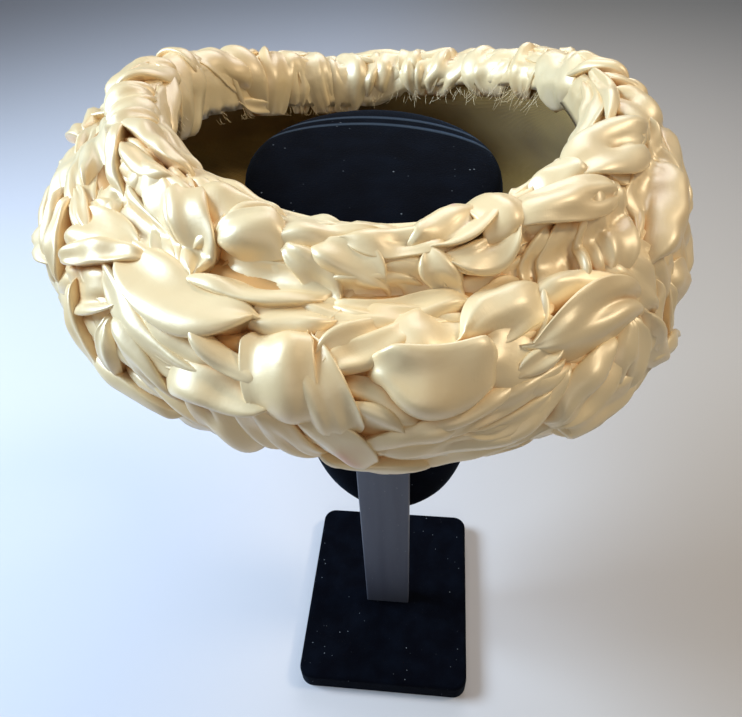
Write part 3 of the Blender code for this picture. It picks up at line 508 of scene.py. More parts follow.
def wall_sections(bearing):
    """Radius and height down the hat's envelope and down the back of its cloth."""
    belly = round_the_hat(BELLY_HEIGHT, bearing)
    reach = round_the_hat(BELLY_RADIUS, bearing)
    seat = round_the_hat(RIM_HEIGHT, bearing) - ROLL_RADIUS
    lip = ROLL_MIDDLE - ROLL_RADIUS
    shoulder = ROLL_MIDDLE + ROLL_RADIUS
    inner_belly = PLAIT_BACK + 0.8 * belly
    inner_reach = reach - PLAIT_BACK
    inner_shoulder = shoulder - PLAIT_BACK
    outer = [(lip, seat - LIP_DEPTH)]
    inner = [(lip + TURNING_BACK, seat - LIP_DEPTH)]
    for angle in np.linspace(pi, 0.0, ROLL_POINTS):
        depth = TURNING_BACK + (PLAIT_BACK - TURNING_BACK) * min(1.0, 2 * (1 - angle / pi))
        outer.append((ROLL_MIDDLE + ROLL_RADIUS * cos(angle), seat + ROLL_RADIUS * sin(angle)))
        core = ROLL_RADIUS - depth
        inner.append((ROLL_MIDDLE + core * cos(angle), seat + core * sin(angle)))
    for angle in np.linspace(pi / 2, 0.0, ROLL_POINTS)[1:]:
        out, up = 1 - cos(angle), sin(angle)
        outer.append((reach - (reach - shoulder) * out, belly + (seat - belly) * up))
        inner.append((inner_reach - (inner_reach - inner_shoulder) * out,
                      inner_belly + (seat - inner_belly) * up))
    for angle in np.linspace(pi / 2, 0.0, ROLL_POINTS)[1:]:
        out, up = sin(angle), 1 - cos(angle)
        outer.append((EDGE_RADIUS + (reach - EDGE_RADIUS) * out, belly * up))
        inner.append((EDGE_RADIUS + (inner_reach - EDGE_RADIUS) * out,
                      PLAIT_BACK + (inner_belly - PLAIT_BACK) * up))
    return outer, inner


class Wall:
    """The hat's outer envelope as a sheet that is read by bearing, drop and height off it."""

    FIRST_DROP = -38.0
    LAST_DROP = 145.0

    def __init__(self):
        drops = np.arange(self.FIRST_DROP, self.LAST_DROP + 1.0)
        sheet = []
        back = []
        for bearing in np.radians(np.arange(-180.0, 181.0)):
            outer, inner = wall_sections(bearing)
            points = np.array([place(bearing, radius, height) for radius, height in outer])
            steps = np.linalg.norm(np.diff(points, axis=0), axis=1)
            run = np.concatenate([[0.0], np.cumsum(steps)])
            run -= run[1 + ROLL_POINTS // 2]
            sheet.append(self.along(drops, run, points))
            points = np.array([place(bearing, radius, height) for radius, height in inner])
            back.append(self.along(drops, run, points))
        self.sheet = np.array(sheet)
        self.back = np.array(back)
        normals = np.cross(np.gradient(self.sheet, axis=1), np.gradient(self.sheet, axis=0))
        self.normals = normals / np.linalg.norm(normals, axis=2, keepdims=True)

    @staticmethod
    def along(drops, run, points):
        """Points at even drops along a run, carried straight on past both of its ends."""
        column = np.array([np.interp(drops, run, points[:, axis]) for axis in range(3)]).T
        start = (points[1] - points[0]) / (run[1] - run[0])
        end = (points[-1] - points[-3]) / (run[-1] - run[-3])
        column += np.minimum(drops - run[0], 0.0)[:, None] * start
        column += np.maximum(drops - run[-1], 0.0)[:, None] * end
        return column

    def read(self, table, bearing, drop):
        column = (np.asarray(bearing, float) + 180.0) % 360.0
        row = np.clip(np.asarray(drop, float) - self.FIRST_DROP, 0.0, table.shape[1] - 1.001)
        left = np.floor(column).astype(int)
        top = np.floor(row).astype(int)
        across = (column - left)[..., None]
        down = (row - top)[..., None]
        upper = table[left, top] * (1 - across) + table[left + 1, top] * across
        lower = table[left, top + 1] * (1 - across) + table[left + 1, top + 1] * across
        return upper * (1 - down) + lower * down

    def point(self, bearing, drop, height):
        off = np.asarray(height, float)[..., None]
        return self.read(self.sheet, bearing, drop) + self.read(self.normals, bearing, drop) * off

    def per_degree(self, bearing, drop):
        """Millimetres along the wall for one degree of bearing."""
        ahead = self.read(self.sheet, bearing + 1.0, drop)
        behind = self.read(self.sheet, bearing - 1.0, drop)
        return float(np.linalg.norm(ahead - behind)) / 2


class Cover:
    """How high the folds stand over the bed, smoothed, to find what lies in a crevice."""

    CELL = 0.5

    def __init__(self):
        self.columns = int(360 / self.CELL)
        self.rows = int(Wall.LAST_DROP - Wall.FIRST_DROP)
        self.height = np.zeros((self.columns, self.rows))

    def add(self, bearing, drop, height):
        column = np.round((bearing + 180.0) / self.CELL).astype(int) % self.columns
        row = np.clip(np.round(drop - Wall.FIRST_DROP).astype(int), 0, self.rows - 1)
        np.maximum.at(self.height, (column, row), height)

    def smooth(self, turns=3):
        for _ in range(turns):
            wide = sum(np.roll(self.height, shift, axis=0) for shift in range(-2, 3)) / 5
            padded = np.pad(wide, ((0, 0), (2, 2)), mode="edge")
            self.height = sum(padded[:, shift:shift + self.rows] for shift in range(5)) / 5

    def cavity(self, bearing, drop, height):
        """From 0 on a crest to 1 deep between folds."""
        column = ((bearing + 180.0) / self.CELL).astype(int) % self.columns
        row = np.clip((drop - Wall.FIRST_DROP).astype(int), 0, self.rows - 1)
        return smoothstep(*CREVICE, self.height[column, row] - height)


class Patch:
    """A closed grid of cloth: rings of points, with where each lies on the hat."""

    def __init__(self, bearing, drop, height, points, weave, looped, lean=0.0):
        self.bearing = bearing
        self.drop = drop
        self.height = height
        self.points = points
        self.weave = weave
        self.looped = looped
        self.lean = lean


def plain_patch(points, weave, looped=False):
    """A patch that takes no shade from the crevices of the satin."""
    flat = np.zeros(points.shape[:2])
    return Patch(flat, flat, flat, points, weave, looped)


def shingled(folds, neighbours):
    """The folds, each tilted to lie over its lower neighbours and under its higher ones."""
    made = []
    for fold in folds:
        middle = np.array([fold.bearing_a + fold.bearing_b, fold.drop_a + fold.drop_b]) / 2
        run = np.array([(fold.bearing_b - fold.bearing_a) * DEGREE, fold.drop_a - fold.drop_b])
        run /= np.linalg.norm(run)
        pull = 0.0
        weight = SHINGLE_WEIGHT
        for other in neighbours:
            off_bearing = ((other.bearing_a + other.bearing_b) / 2 - middle[0]) * DEGREE
            off_drop = middle[1] - (other.drop_a + other.drop_b) / 2
            distance = sqrt(off_bearing ** 2 + off_drop ** 2)
            if other is fold or distance > SHINGLE_REACH:
                continue
            share = np.exp(-(distance / SHINGLE_FADE) ** 2)
            side = (run[0] * off_drop - run[1] * off_bearing) / max(distance, 1.0)
            above = fold.lift + fold.crown - other.lift - other.crown
            pull += share * side * np.clip(above, -SHINGLE_STEP, SHINGLE_STEP)
            weight += share
        tilt = float(np.clip(SHINGLE * pull / weight, -TILT_LIMIT, TILT_LIMIT))
        made.append(fold._replace(tilt=fold.tilt + tilt))
    return made


def pleat_creases(fold, part, t, keep, rng):
    """How deep a fold's lengthwise gathers cut into it."""
    gathered = fold.width > PLEATED_WIDTH and fold.troughs != 0
    pleats = fold.pleats + int(rng.integers(0, 2)) * gathered
    depth = PLEAT_DEPTH * min(1.0, fold.width / (pleats + 1) / PLEAT_SPACE) * rng.uniform(0.6, 1.3)
    heading = rng.uniform()
    strength = 0.20 + 0.80 * np.abs(part - heading) ** rng.uniform(0.8, 1.6)
    wander = rng.uniform(0.3, 0.9) * np.sin(pi * part * rng.uniform(0.6, 1.6) + rng.uniform(0, 6))
    phase = pi * (pleats + 1) / 2 * (t + 1) + wander * keep
    return depth * strength * (1 - np.abs(np.sin(phase))) * (pleats > 0)


def trough_creases(fold, part, t, half, rng):
    """How deep the few soft hollows are that run in from a fold's ends."""
    troughs = fold.troughs
    if troughs < 0:
        troughs = int(fold.width > TROUGH_WIDTH or rng.uniform() < 0.4)
        troughs += int(fold.width > TWO_TROUGH_WIDTH)
    depth = 0.0 * t
    for _ in range(troughs):
        from_a = rng.uniform() < 0.5
        way = part if from_a else 1 - part
        line = rng.uniform(-0.55, 0.55) + rng.uniform(-0.7, 0.7) * way ** 1.5
        reach = 1 - smoothstep(0.30, rng.uniform(0.55, 0.85), way)
        wide = rng.uniform(1.1, 2.0) * (0.5 + 0.9 * way)
        across = np.abs(t - line) * half / wide
        full = TROUGH_DEPTH * min(1.0, fold.width / TROUGH_WIDTH)
        depth = depth + full * reach * np.exp(-across ** 1.25)
    return depth


def fold_patch(fold, wall, rng, grade, sink=SINK):
    """A strip of satin: a soft panel between two rolled edges, with its ends tucked in."""
    middle_bearing = (fold.bearing_a + fold.bearing_b) / 2
    scale = wall.per_degree(middle_bearing, (fold.drop_a + fold.drop_b) / 2)
    run = np.array([(fold.bearing_b - fold.bearing_a) * scale, fold.drop_a - fold.drop_b])
    length = float(np.linalg.norm(run))
    run /= length
    left = np.array([-run[1], run[0]])
    extra = END_EXTRA + END_EXTRA_SHARE * length
    whole = length + 2 * extra
    along = int(np.clip(whole / grade.step, grade.least, grade.most))
    part = np.linspace(0.0, 1.0, along)[:, None]
    u = (part * whole - extra) / length
    past = np.maximum(np.maximum(-u, u - 1.0) * length / extra, 0.0)
    belly = np.clip(4 * u * (1 - u), 0.0, 1.0)
    end = fold.end_a + (fold.end_b - fold.end_a) * smoothstep(0.25, 0.75, u)
    end = np.where(end > BLUNT_END, end, SLIM_END * end)
    half = fold.width / 2 * (end + (1 - end) * belly ** TAPER_POWER) * WIDEN
    half = half * (1 - END_NARROWING * past)
    roll = np.minimum(EDGE_ROLL, 0.4 * half)
    panel = np.linspace(-1.0, 1.0, grade.panel)[None, :]
    turn = np.radians(EDGE_TURNS)[None, :]
    inner = (half - roll) * panel
    rim = half - roll + roll * np.sin(turn)
    tuck = 0.0 * u
    side = np.concatenate([-rim[:, ::-1], inner, rim, half - 0.5 * roll, 0.55 * half, tuck,
                           -0.55 * half, -half + 0.5 * roll], axis=1)
    sunk = roll * (1 - np.cos(turn))
    fall = np.concatenate([sunk[:, ::-1], 0.0 * inner, sunk, 2.2 * roll, tuck, tuck, tuck,
                           2.2 * roll], axis=1)
    under = np.zeros(side.shape[1], bool)
    under[-4:-1] = True
    t = side / half
    rise = (1 - np.abs(2 * part - 1) ** RISE_SHAPE) ** RISE_POWER
    tilt = fold.tilt + rng.uniform(-1.0, 1.0) * TILT * min(1.0, fold.width / WIDE_FOLD)
    twist = tilt * (1 + rng.uniform(-0.5, 0.5) * (2 * part - 1)) / 2
    lip = EDGE_LIP * np.exp(-((1 - t * np.sign(tilt)) * half / LIP_REACH) ** 2)
    curl = CURL * min(1.4, fold.width / WIDE_FOLD)
    curl = curl * np.sin(pi * t + rng.uniform(-0.8, 0.8) + rng.uniform(-1.5, 1.5) * part)
    curl = curl * (1.0 if rng.uniform() < 0.5 else -1.0)
    curl = curl * (SMOOTH_CURL if fold.troughs == 0 else 1.0)
    puff = fold.crown * CROWN_SHARE * (1 - np.abs(t) ** PANEL_POWER)
    keep = np.clip(1 - t ** 4, 0.0, 1.0)
    height = fold.lift + puff + curl * keep + twist * t + lip - fall
    sway = rng.uniform(-SWAY, SWAY) * np.sin(2 * pi * part) * min(1.0, length / LONG_FOLD)
    bend = fold.bow * belly + sway
    x = run[0] * u * length + left[0] * (side + bend)
    y = run[1] * u * length + left[1] * (side + bend)
    crease = pleat_creases(fold, part, t, keep, rng)
    crease = crease + trough_creases(fold, part, t, half, rng)
    dents = DENT_DEPTH * Ripple(rng, DENT_LENGTH)(x, y)
    dents = dents + GRAIN_DEPTH * Ripple(rng, GRAIN_LENGTH)(x * 0.6, y)
    height = (height + (dents - crease) * keep) * rise - END_TUCK * (1 - rise)
    height = np.where(under[None, :], UNDERSIDE + END_UNDERSIDE * (1 - rise),
                      np.maximum(height, DEEPEST))
    bearing = fold.bearing_a + x / scale
    drop = fold.drop_a - y
    points = wall.point(bearing, drop, height - BED_DEPTH - sink)
    weave = np.stack([u * length + 0 * side, side], axis=-1)
    shaded = height - CREASE_SHADE * crease
    return Patch(bearing, drop, shaded, points, weave, False, rng.uniform(-1, 1))


def filler_folds(top, bottom, rng):
    """Low folds under the others, so that what shows between them is gathered cloth too."""
    made = []
    middle = (top + bottom) / 2
    reach = (bottom - top) / 2 + 2.0
    start = -180.0
    while start < 180.0:
        side = 1.0 if rng.uniform() < 0.5 else -1.0
        for share in (-0.8, 0.0, 0.8):
            place_at = middle + share * reach
            made.append(Fold(start, place_at + side * 0.3 * reach, start + rng.uniform(10.0, 15.0),
                             place_at - side * 0.3 * reach, rng.uniform(9.0, 13.0),
                             rng.uniform(-2.0, 2.0), rng.uniform(0.6, 1.6), rng.uniform(2.0, 3.2),
                             0.6, 0.6, int(rng.integers(1, 3))))
        start += FILLER_PITCH
    return made


def turned_edge(bearing):
    """The drop of the turned satin's raw edge, which hangs lowest at the back left."""
    left = smoothstep(88.0, 105.0, -bearing) + smoothstep(165.0, 178.0, bearing)
    right = smoothstep(85.0, 105.0, bearing) * (1 - smoothstep(150.0, 172.0, bearing))
    return TURNING_END - 6.0 * left + 3.0 * right


def bed_patch(wall, top, bottom, depth, rng):
    """The cloth that shows between the folds of one row, closed at its back."""
    steps = max(4, int((bottom - top) / BED_STEP))
    bearings = np.linspace(-180.0, 180.0, BED_COLUMNS, endpoint=False)
    drops = np.linspace(top, bottom, steps + 1)
    bearing, drop = np.meshgrid(bearings, drops, indexing="ij")
    if top == TURNING_END:
        drop = bottom + (drop - bottom) * (turned_edge(bearing) - bottom) / (top - bottom)
    rumple = BED_RUMPLE * Ripple(rng, BED_RUMPLE_LENGTH)(bearing * 2.0, drop)
    rumple *= np.minimum(1.0, np.minimum(drop - top, bottom - drop) / BED_RUMPLE_FADE)
    outside = wall.point(bearing, drop, rumple - depth)
    back_bearing, back_drop = bearing[:, ::-2], drop[:, ::-2]
    inside = wall.read(wall.back, back_bearing, back_drop)
    points = np.concatenate([outside, inside], axis=1)
    all_bearing = np.concatenate([bearing, back_bearing], axis=1)
    all_drop = np.concatenate([drop, back_drop], axis=1)
    back_height = np.full(back_drop.shape, BED_BACK)
    height = np.concatenate([rumple + BED_DEPTH - depth, back_height], axis=1)
    weave = np.stack([all_bearing * 2.0, all_drop], axis=-1)
    return Patch(all_bearing, all_drop, height, points, weave, True)


def patch_mesh(name, patches, cover, finish):
    """One object from closed grids of points, with its weave map and crevices."""
    corners = []
    weaves = []
    cavities = []
    shades = []
    faces = []
    start = 0
    for patch in patches:
        rings, loop = patch.points.shape[:2]
        corners.append(patch.points.reshape(-1, 3) * MM)
        weaves.append(patch.weave.reshape(-1, 2) * WEAVE_UNIT)
        cavities.append(cover.cavity(patch.bearing, patch.drop, patch.height).reshape(-1))
        shades.append(np.full(rings * loop, patch.lean))
        index = np.arange(rings * loop).reshape(rings, loop) + start
        ahead = np.roll(index, -1, axis=0) if patch.looped else index[1:]
        here = index if patch.looped else index[:-1]
        quads = np.stack([here, ahead, np.roll(ahead, -1, axis=1), np.roll(here, -1, axis=1)],
                         axis=-1)
        faces.extend(quads.reshape(-1, 4).tolist())
        if not patch.looped:
            faces.append(index[0].tolist())
            faces.append(index[-1][::-1].tolist())
        start += rings * loop
    corners = np.concatenate(corners)
    mesh = bpy.data.meshes.new(name)
    mesh.from_pydata(corners.tolist(), [], faces)
    weave = np.concatenate(weaves)
    loops = np.zeros(len(mesh.loops), dtype=np.int32)
    mesh.loops.foreach_get("vertex_index", loops)
    layer = mesh.uv_layers.new(name="weave")
    layer.uv.foreach_set("vector", weave[loops].astype(np.float32).ravel())
    for label, values in (("cavity", cavities), ("shade", shades)):
        attribute = mesh.attributes.new(label, "FLOAT", "POINT")
        attribute.data.foreach_set("value", np.concatenate(values).astype(np.float32))
    mesh.materials.append(finish)
    shape = bmesh.new()
    shape.from_mesh(mesh)
    bmesh.ops.recalc_face_normals(shape, faces=shape.faces)
    shape.to_mesh(mesh)
    shape.free()
    mesh.shade_smooth()
    thing = bpy.data.objects.new(name, mesh)
    bpy.context.collection.objects.link(thing)
    return thing


def repeated(folds, row, rng):
    """Folds of the front carried round to the stretches that no view shows."""
    made = []
    for stretch in REPEATS[row]:
        for fold in folds:
            middle = (fold.bearing_a + fold.bearing_b) / 2
            if not stretch.first <= middle <= stretch.last:
                continue
            turn = stretch.shift + rng.uniform(-REPEAT_JITTER, REPEAT_JITTER)
            down = rng.uniform(-REPEAT_JITTER, REPEAT_JITTER)
            made.append(fold._replace(
                bearing_a=fold.bearing_a + turn, bearing_b=fold.bearing_b + turn,
                drop_a=fold.drop_a + down, drop_b=fold.drop_b + down,
                width=fold.width * rng.uniform(0.94, 1.12)))
    return made


def under_folds(rng):
    """An even plait under the brim of the belly."""
    made = []
    for index in range(int(360 / UNDER_PITCH)):
        start = -180.0 + index * UNDER_PITCH + rng.uniform(-1.5, 1.5)
        side = 1.0 if index % 2 else -1.0
        reach = UNDER_REACH * rng.uniform(0.85, 1.05)
        made.append(Fold(start, UNDER_MIDDLE + side * reach, start + 2.0 * UNDER_PITCH,
                         UNDER_MIDDLE - side * 2.0, UNDER_WIDTH * rng.uniform(0.85, 1.1),
                         -side * 1.5, rng.uniform(2.4, 3.6), rng.uniform(2.8, 4.0), 0.6, 0.5,
                         int(rng.integers(0, 3))))
    return made


def foundation_piece(finish, rng):
    """The stiff cloth ring under the plait: open weave, a little rumpled, raw at its edges."""
    columns = 180
    steps = 26
    turns = 10
    lip = ROLL_MIDDLE - ROLL_RADIUS + TURNING_BACK + LIP_CLEAR + FOUNDATION_WALL / 2
    clear = PLAIT_BACK + FOUNDATION_CLEAR + FOUNDATION_WALL / 2
    rumple = Ripple(rng, RUMPLE_LENGTH)
    points = []
    weave = []
    for degrees in np.linspace(-180.0, 180.0, columns, endpoint=False):
        bearing = radians(degrees)
        belly = round_the_hat(BELLY_HEIGHT, bearing)
        top = round_the_hat(RIM_HEIGHT, bearing) - ROLL_RADIUS - FOUNDATION_EASE
        waist = belly + FOUNDATION_WAIST * (top - belly)
        widest = round_the_hat(BELLY_RADIUS, bearing) - clear - FOUNDATION_EASE
        narrow = EDGE_RADIUS + FOUNDATION_EASE
        middle = []
        for share in np.linspace(0.0, 1.0, steps + 1):
            flare = share ** 2 * (3 - 2 * share)
            middle.append((lip + (widest - lip) * flare, top - (top - waist) * share))
        for angle in np.linspace(pi / 2, 0.0, turns + 1)[1:]:
            middle.append((narrow + (widest - narrow) * sin(angle),
                           clear + (waist - clear) * (1 - cos(angle))))
        middle = np.array(middle)
        tangent = np.gradient(middle, axis=0)
        tangent /= np.linalg.norm(tangent, axis=1, keepdims=True)
        across = np.column_stack([-tangent[:, 1], tangent[:, 0]]) * FOUNDATION_WALL / 2
        run = np.concatenate([[0.0], np.cumsum(np.linalg.norm(np.diff(middle, axis=0), axis=1))])
        fade = np.minimum(1.0, np.minimum(run, run[-1] - run) / RUMPLE_FADE)
        inward = RUMPLE_DEPTH * (rumple(degrees * 2.0 % 720, run) - RUMPLE_SHIFT) * fade
        inside = middle - across * (1 - inward[:, None] / FOUNDATION_WALL)
        section = np.concatenate([middle + across, inside[::-1]])
        points.append([place(bearing, radius, height) for radius, height in section])
        weave.append([(degrees * 2.0, length) for length in np.concatenate([run, run[::-1]])])
    patch = plain_patch(np.array(points), np.array(weave), True)
    piece = patch_mesh("foundation_cloth", [patch], Cover(), finish)
    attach(piece, "root")
    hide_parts("foundation_upper", "foundation_lower")


def level_at(step):
    """A bust level between two of the table's rows, on a smooth curve through them."""
    last = len(BUST_LEVELS) - 1
    row = min(int(step), last - 1)
    share = step - row
    rows = [np.array(BUST_LEVELS[min(max(row + shift, 0), last)]) for shift in (-1, 0, 1, 2)]
    before, here, following, after = rows
    start = np.where((here - before) * (following - here) > 0, (following - before) / 2, 0.0)
    finish = np.where((following - here) * (after - following) > 0, (after - here) / 2, 0.0)
    cube, square = share ** 3, share ** 2
    value = ((2 * cube - 3 * square + 1) * here + (cube - 2 * square + share) * start
             + (3 * square - 2 * cube) * following + (cube - square) * finish)
    return Level(*value)


def bust_piece(finish):
    """The velvet neck bust: shoulders that carry the ring, and a flat-topped neck in it."""
    lean = np.tan(radians(BUST_LEAN))
    rings = []
    last = len(BUST_LEVELS) - 1
    levels = [level_at(step) for step in np.linspace(0.0, last, last * 4 + 1)]
    shrink = [1.0] * len(levels)
    for share in (0.82, 0.62, 0.4, 0.2, 0.05):
        levels.append(levels[-1])
        shrink.append(share)
    for level, share in zip(levels, shrink):
        middle = (level.near + level.far) / 2
        depth = (level.far - level.near) / 2 * share
        width = level.half_width * share
        ring = []
        for angle in np.linspace(0.0, 2 * pi, BUST_SIDES, endpoint=False):
            x = width * abs(cos(angle)) ** level.roundness * (1 if cos(angle) >= 0 else -1)
            y = middle + depth * abs(sin(angle)) ** level.roundness * (1 if sin(angle) >= 0 else -1)
            dome = 0.5 * (1 - share)
            ring.append((x, y, level.height - x * lean + dome))
        rings.append(ring)
    points = np.array(rings)
    patch = plain_patch(points, points[:, :, :2].copy())
    piece = patch_mesh("velvet_bust", [patch], Cover(), finish)
    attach(piece, "root")
    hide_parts("neck_bust")


def upright_block(name, low, high):
    """A cube primitive brought to its size and place, its origin at the row's."""
    bpy.ops.object.select_all(action="DESELECT")
    middle = [(a + b) / 2 * MM for a, b in zip(low, high)]
    bpy.ops.mesh.primitive_cube_add(size=1.0, location=middle)
    block = bpy.context.active_object
    block.name = name
    block.scale = [(b - a) * MM for a, b in zip(low, high)]
    bpy.ops.object.transform_apply(location=True, rotation=True, scale=True)
    return block


def round_edges(block, wanted, radius, segments):
    """Bevels the edges that a test on their two ends picks out."""
    mesh = block.data
    bpy.ops.object.mode_set(mode="EDIT")
    bpy.ops.mesh.select_mode(type="EDGE")
    bpy.ops.mesh.select_all(action="DESELECT")
    bpy.ops.object.mode_set(mode="OBJECT")
    for edge in mesh.edges:
        ends = [mesh.vertices[index].co for index in edge.vertices]
        edge.select = wanted(*ends)
    bpy.ops.object.mode_set(mode="EDIT")
    bpy.ops.mesh.bevel(offset=radius * MM, segments=segments, affect="EDGES")
    bpy.ops.object.mode_set(mode="OBJECT")


def stand_pieces(velvet, paint):
    half_width, half_depth = BASE_WIDTH / 2, BASE_DEPTH / 2
    base = upright_block("velvet_base", (-half_width, -half_depth, 0.0),
                         (half_width, half_depth, BASE_THICKNESS))
    round_edges(base, lambda a, b: abs(a.z - b.z) > 0.5 * BASE_THICKNESS * MM, BASE_CORNER, 8)
    round_edges(base, lambda a, b: min(a.z, b.z) > 0.9 * BASE_THICKNESS * MM, BASE_EDGE, 5)
    post = upright_block("painted_post", (-POST_WIDTH / 2, POST_FRONT, POST_FOOT),
                         (POST_WIDTH / 2, POST_FRONT + POST_THICKNESS, POST_TOP))
    post_height = (POST_TOP - POST_FOOT) * MM
    round_edges(post, lambda a, b: abs(a.z - b.z) > 0.5 * post_height, POST_EDGE, 3)
    for piece, node, slot, finish in ((base, "stand_base", "black_velvet", velvet),
                                      (post, "stand_post", "grey_paint", paint)):
        piece.data.materials.append(finish)
        piece.data.shade_smooth()
        piece.data.set_sharp_from_angle(angle=radians(SHARP_ANGLE))
        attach(piece, "root")
        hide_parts(node)


class Field:
    """A value in a material. Python's operators on it add the nodes that work it out."""

    def __init__(self, paint, socket):
        self.paint = paint
        self.socket = socket

    def join(self, operation, first, second):
        return self.paint.node("ShaderNodeMath", {"operation": operation}, {0: first, 1: second})

    def __add__(self, other):
        return self.join("ADD", self, other)

    def __radd__(self, other):
        return self.join("ADD", other, self)

    def __sub__(self, other):
        return self.join("SUBTRACT", self, other)

    def __rsub__(self, other):
        return self.join("SUBTRACT", other, self)

    def __mul__(self, other):
        return self.join("MULTIPLY", self, other)

    def __rmul__(self, other):
        return self.join("MULTIPLY", other, self)

    def between(self, low, high):
        """Smoothly from 0 at low to 1 at high."""
        return self.paint.node("ShaderNodeMapRange", {"interpolation_type": "SMOOTHSTEP"},
                               {"Value": self, "From Min": low, "From Max": high})

    def size(self):
        return self.paint.node("ShaderNodeMath", {"operation": "ABSOLUTE"}, {0: self})

    def wave(self):
        return self.paint.node("ShaderNodeMath", {"operation": "SINE"}, {0: self})


class Paint:
    """One material and the nodes that feed its Principled shader."""

    def __init__(self, name, **constants):
        self.material = bpy.data.materials.new(name)
        self.material.use_nodes = True
        self.tree = self.material.node_tree
        self.shader = self.tree.nodes["Principled BSDF"]
        for socket, value in constants.items():
            self.shader.inputs[socket.replace("_", " ")].default_value = value

    def node(self, kind, settings=None, values=None, output=0):
        made = self.tree.nodes.new(kind)
        for key, value in (settings or {}).items():
            setattr(made, key, value)
        for key, value in (values or {}).items():
            self.feed(made.inputs[key], value)
        return Field(self, made.outputs[output])

    def feed(self, socket, value):
        if isinstance(value, Field):
            self.tree.links.new(value.socket, socket)
        elif isinstance(value, tuple) and len(value) == 3 and socket.type == "RGBA":
            socket.default_value = (*value, 1.0)
        else:
            socket.default_value = value

    def set(self, socket, value):
        self.feed(self.shader.inputs[socket], value)

    def mix(self, share, first, second):
        return self.node("ShaderNodeMix", {"data_type": "RGBA"}, {0: share, 6: first, 7: second}, 2)

    def object_place(self):
        return self.node("ShaderNodeTexCoord", output=3)

    def attribute(self, name):
        return self.node("ShaderNodeAttribute", {"attribute_name": name}, output=2)

    def weave(self, along, across):
        """The cloth's own map, stretched; one unit is a centimetre of cloth."""
        cloth = self.node("ShaderNodeUVMap", {"uv_map": "weave"})
        return self.node("ShaderNodeMapping", None,
                         {"Vector": cloth, "Scale": (along, across, 1.0)})

    def parts(self, vector):
        split = self.node("ShaderNodeSeparateXYZ", None, {0: vector})
        outputs = split.socket.node.outputs
        return [Field(self, outputs[index]) for index in range(3)]

    def noise(self, vector, scale, detail=2.0, roughness=0.5):
        return self.node("ShaderNodeTexNoise", None,
                         {"Vector": vector, "Scale": scale, "Detail": detail, "Roughness": roughness})

    def spot(self, wall, mark):
        """1 at a mark on the hat, fading to 0 at its radius."""
        where = wall.point(mark.bearing, mark.drop, mark.height) * MM
        off = self.node("ShaderNodeVectorMath", {"operation": "DISTANCE"},
                        {0: self.object_place(), 1: tuple(where)}, 1)
        return 1.0 - off.between(0.2 * mark.radius, mark.radius)

    def bump(self, height, strength, distance):
        normal = self.node("ShaderNodeBump", None,
                           {"Strength": strength, "Distance": distance, "Height": height})
        self.set("Normal", normal)


def satin_material(wall):
    paint = Paint("ivory_satin", Metallic=0.10, Specular_IOR_Level=0.7,
                  Coat_Weight=0.8, Coat_Roughness=0.36, Coat_IOR=1.6)
    where = paint.object_place()
    tone = paint.noise(where, 22.0, 3.0)
    cavity = paint.attribute("cavity")
    shade = paint.attribute("shade")
    colour = paint.mix(tone.between(0.35, 0.7), IVORY, CREAM)
    colour = paint.mix((shade * 0.5 + 0.5) * 0.16, colour, DULL_IVORY)
    blotch = paint.noise(where, 60.0, 2.0)
    rust = paint.spot(wall, STAIN) * blotch.between(0.35, 0.6)
    colour = paint.mix(rust * 0.75, colour, RUST)
    colour = paint.mix(paint.spot(wall, THREAD_MARK) * 0.6, colour, PINK)
    # Painted shade: the satin turns amber where it lies below its neighbours, in crevices and
    # creases.
    deep = cavity.between(0.02, 0.80)
    colour = paint.mix(deep * 0.92, colour, PAINTED_CREVICE_SHADE)
    paint.set("Base Color", colour)
    threads = paint.noise(paint.weave(2.5, 42.0), 1.0, 2.0)
    ribs = paint.noise(paint.weave(30.0, 4.0), 1.0, 1.0)
    paint.set("Roughness", 0.38 + 0.08 * tone + 0.05 * threads + 0.25 * deep)
    crumple = paint.noise(where, 260.0, 2.0)
    paint.bump(threads * 0.35 + ribs * 0.25 + crumple * 1.6, 0.30, 0.00025)
    return paint.material


def foundation_material():
    paint = Paint("tan_open_weave", Sheen_Weight=0.1, Specular_IOR_Level=0.2)
    cloth = paint.weave(1.0, 1.0)
    along, down, _ = paint.parts(cloth)
    warp = (along * 75.0).wave()
    weft = (down * 75.0).wave()
    grid = warp * 0.5 + weft * 0.5
    where = paint.object_place()
    cloud = paint.noise(where, 30.0, 4.0)
    colour = paint.mix(cloud.between(0.3, 0.75), TAN, PALE_TAN)
    colour = paint.mix(grid.between(-0.2, 0.9) * 0.35, colour, TAN_THREAD)
    paint.set("Base Color", colour)
    paint.set("Roughness", 0.85 + 0.1 * cloud)
    paint.bump(grid + cloud * 2.0, 0.5, 0.0003)
    return paint.material


def velvet_material(name, seams):
    paint = Paint(name, Sheen_Weight=0.12, Sheen_Roughness=0.25,
                  Sheen_Tint=(*VELVET_SHEEN, 1.0), Specular_IOR_Level=0.05)
    where = paint.object_place()
    nap = paint.noise(where, 1400.0, 2.0)
    patchy = paint.noise(where, 70.0, 3.0)
    flecks = paint.node("ShaderNodeTexVoronoi", None, {"Vector": where, "Scale": 210.0})
    fleck = 1.0 - flecks.between(0.03, 0.09)
    few = paint.noise(where, 95.0, 1.0).between(0.48, 0.60)
    colour = paint.mix(patchy.between(0.3, 0.8) * 0.6, VELVET, VELVET_WORN)
    height = nap
    if seams:
        x, y, z = paint.parts(where)
        for home in seams:
            off = (y + x * x * SEAM_CURVE - home).size()
            ridge = (1.0 - off.between(*SEAM_REACH)) * z.between(*SEAM_HEIGHT)
            height = height + ridge * 3.5
            # Painted sheen: the seam ridges are coloured lighter, as where light catches them.
            colour = paint.mix(ridge * 0.9, colour, PAINTED_SEAM_SHEEN)
    colour = paint.mix(fleck * few * 0.8, colour, LINT)
    paint.set("Base Color", colour)
    paint.set("Roughness", 0.9 + 0.1 * nap)
    paint.bump(height, 0.6, 0.0004)
    return paint.material


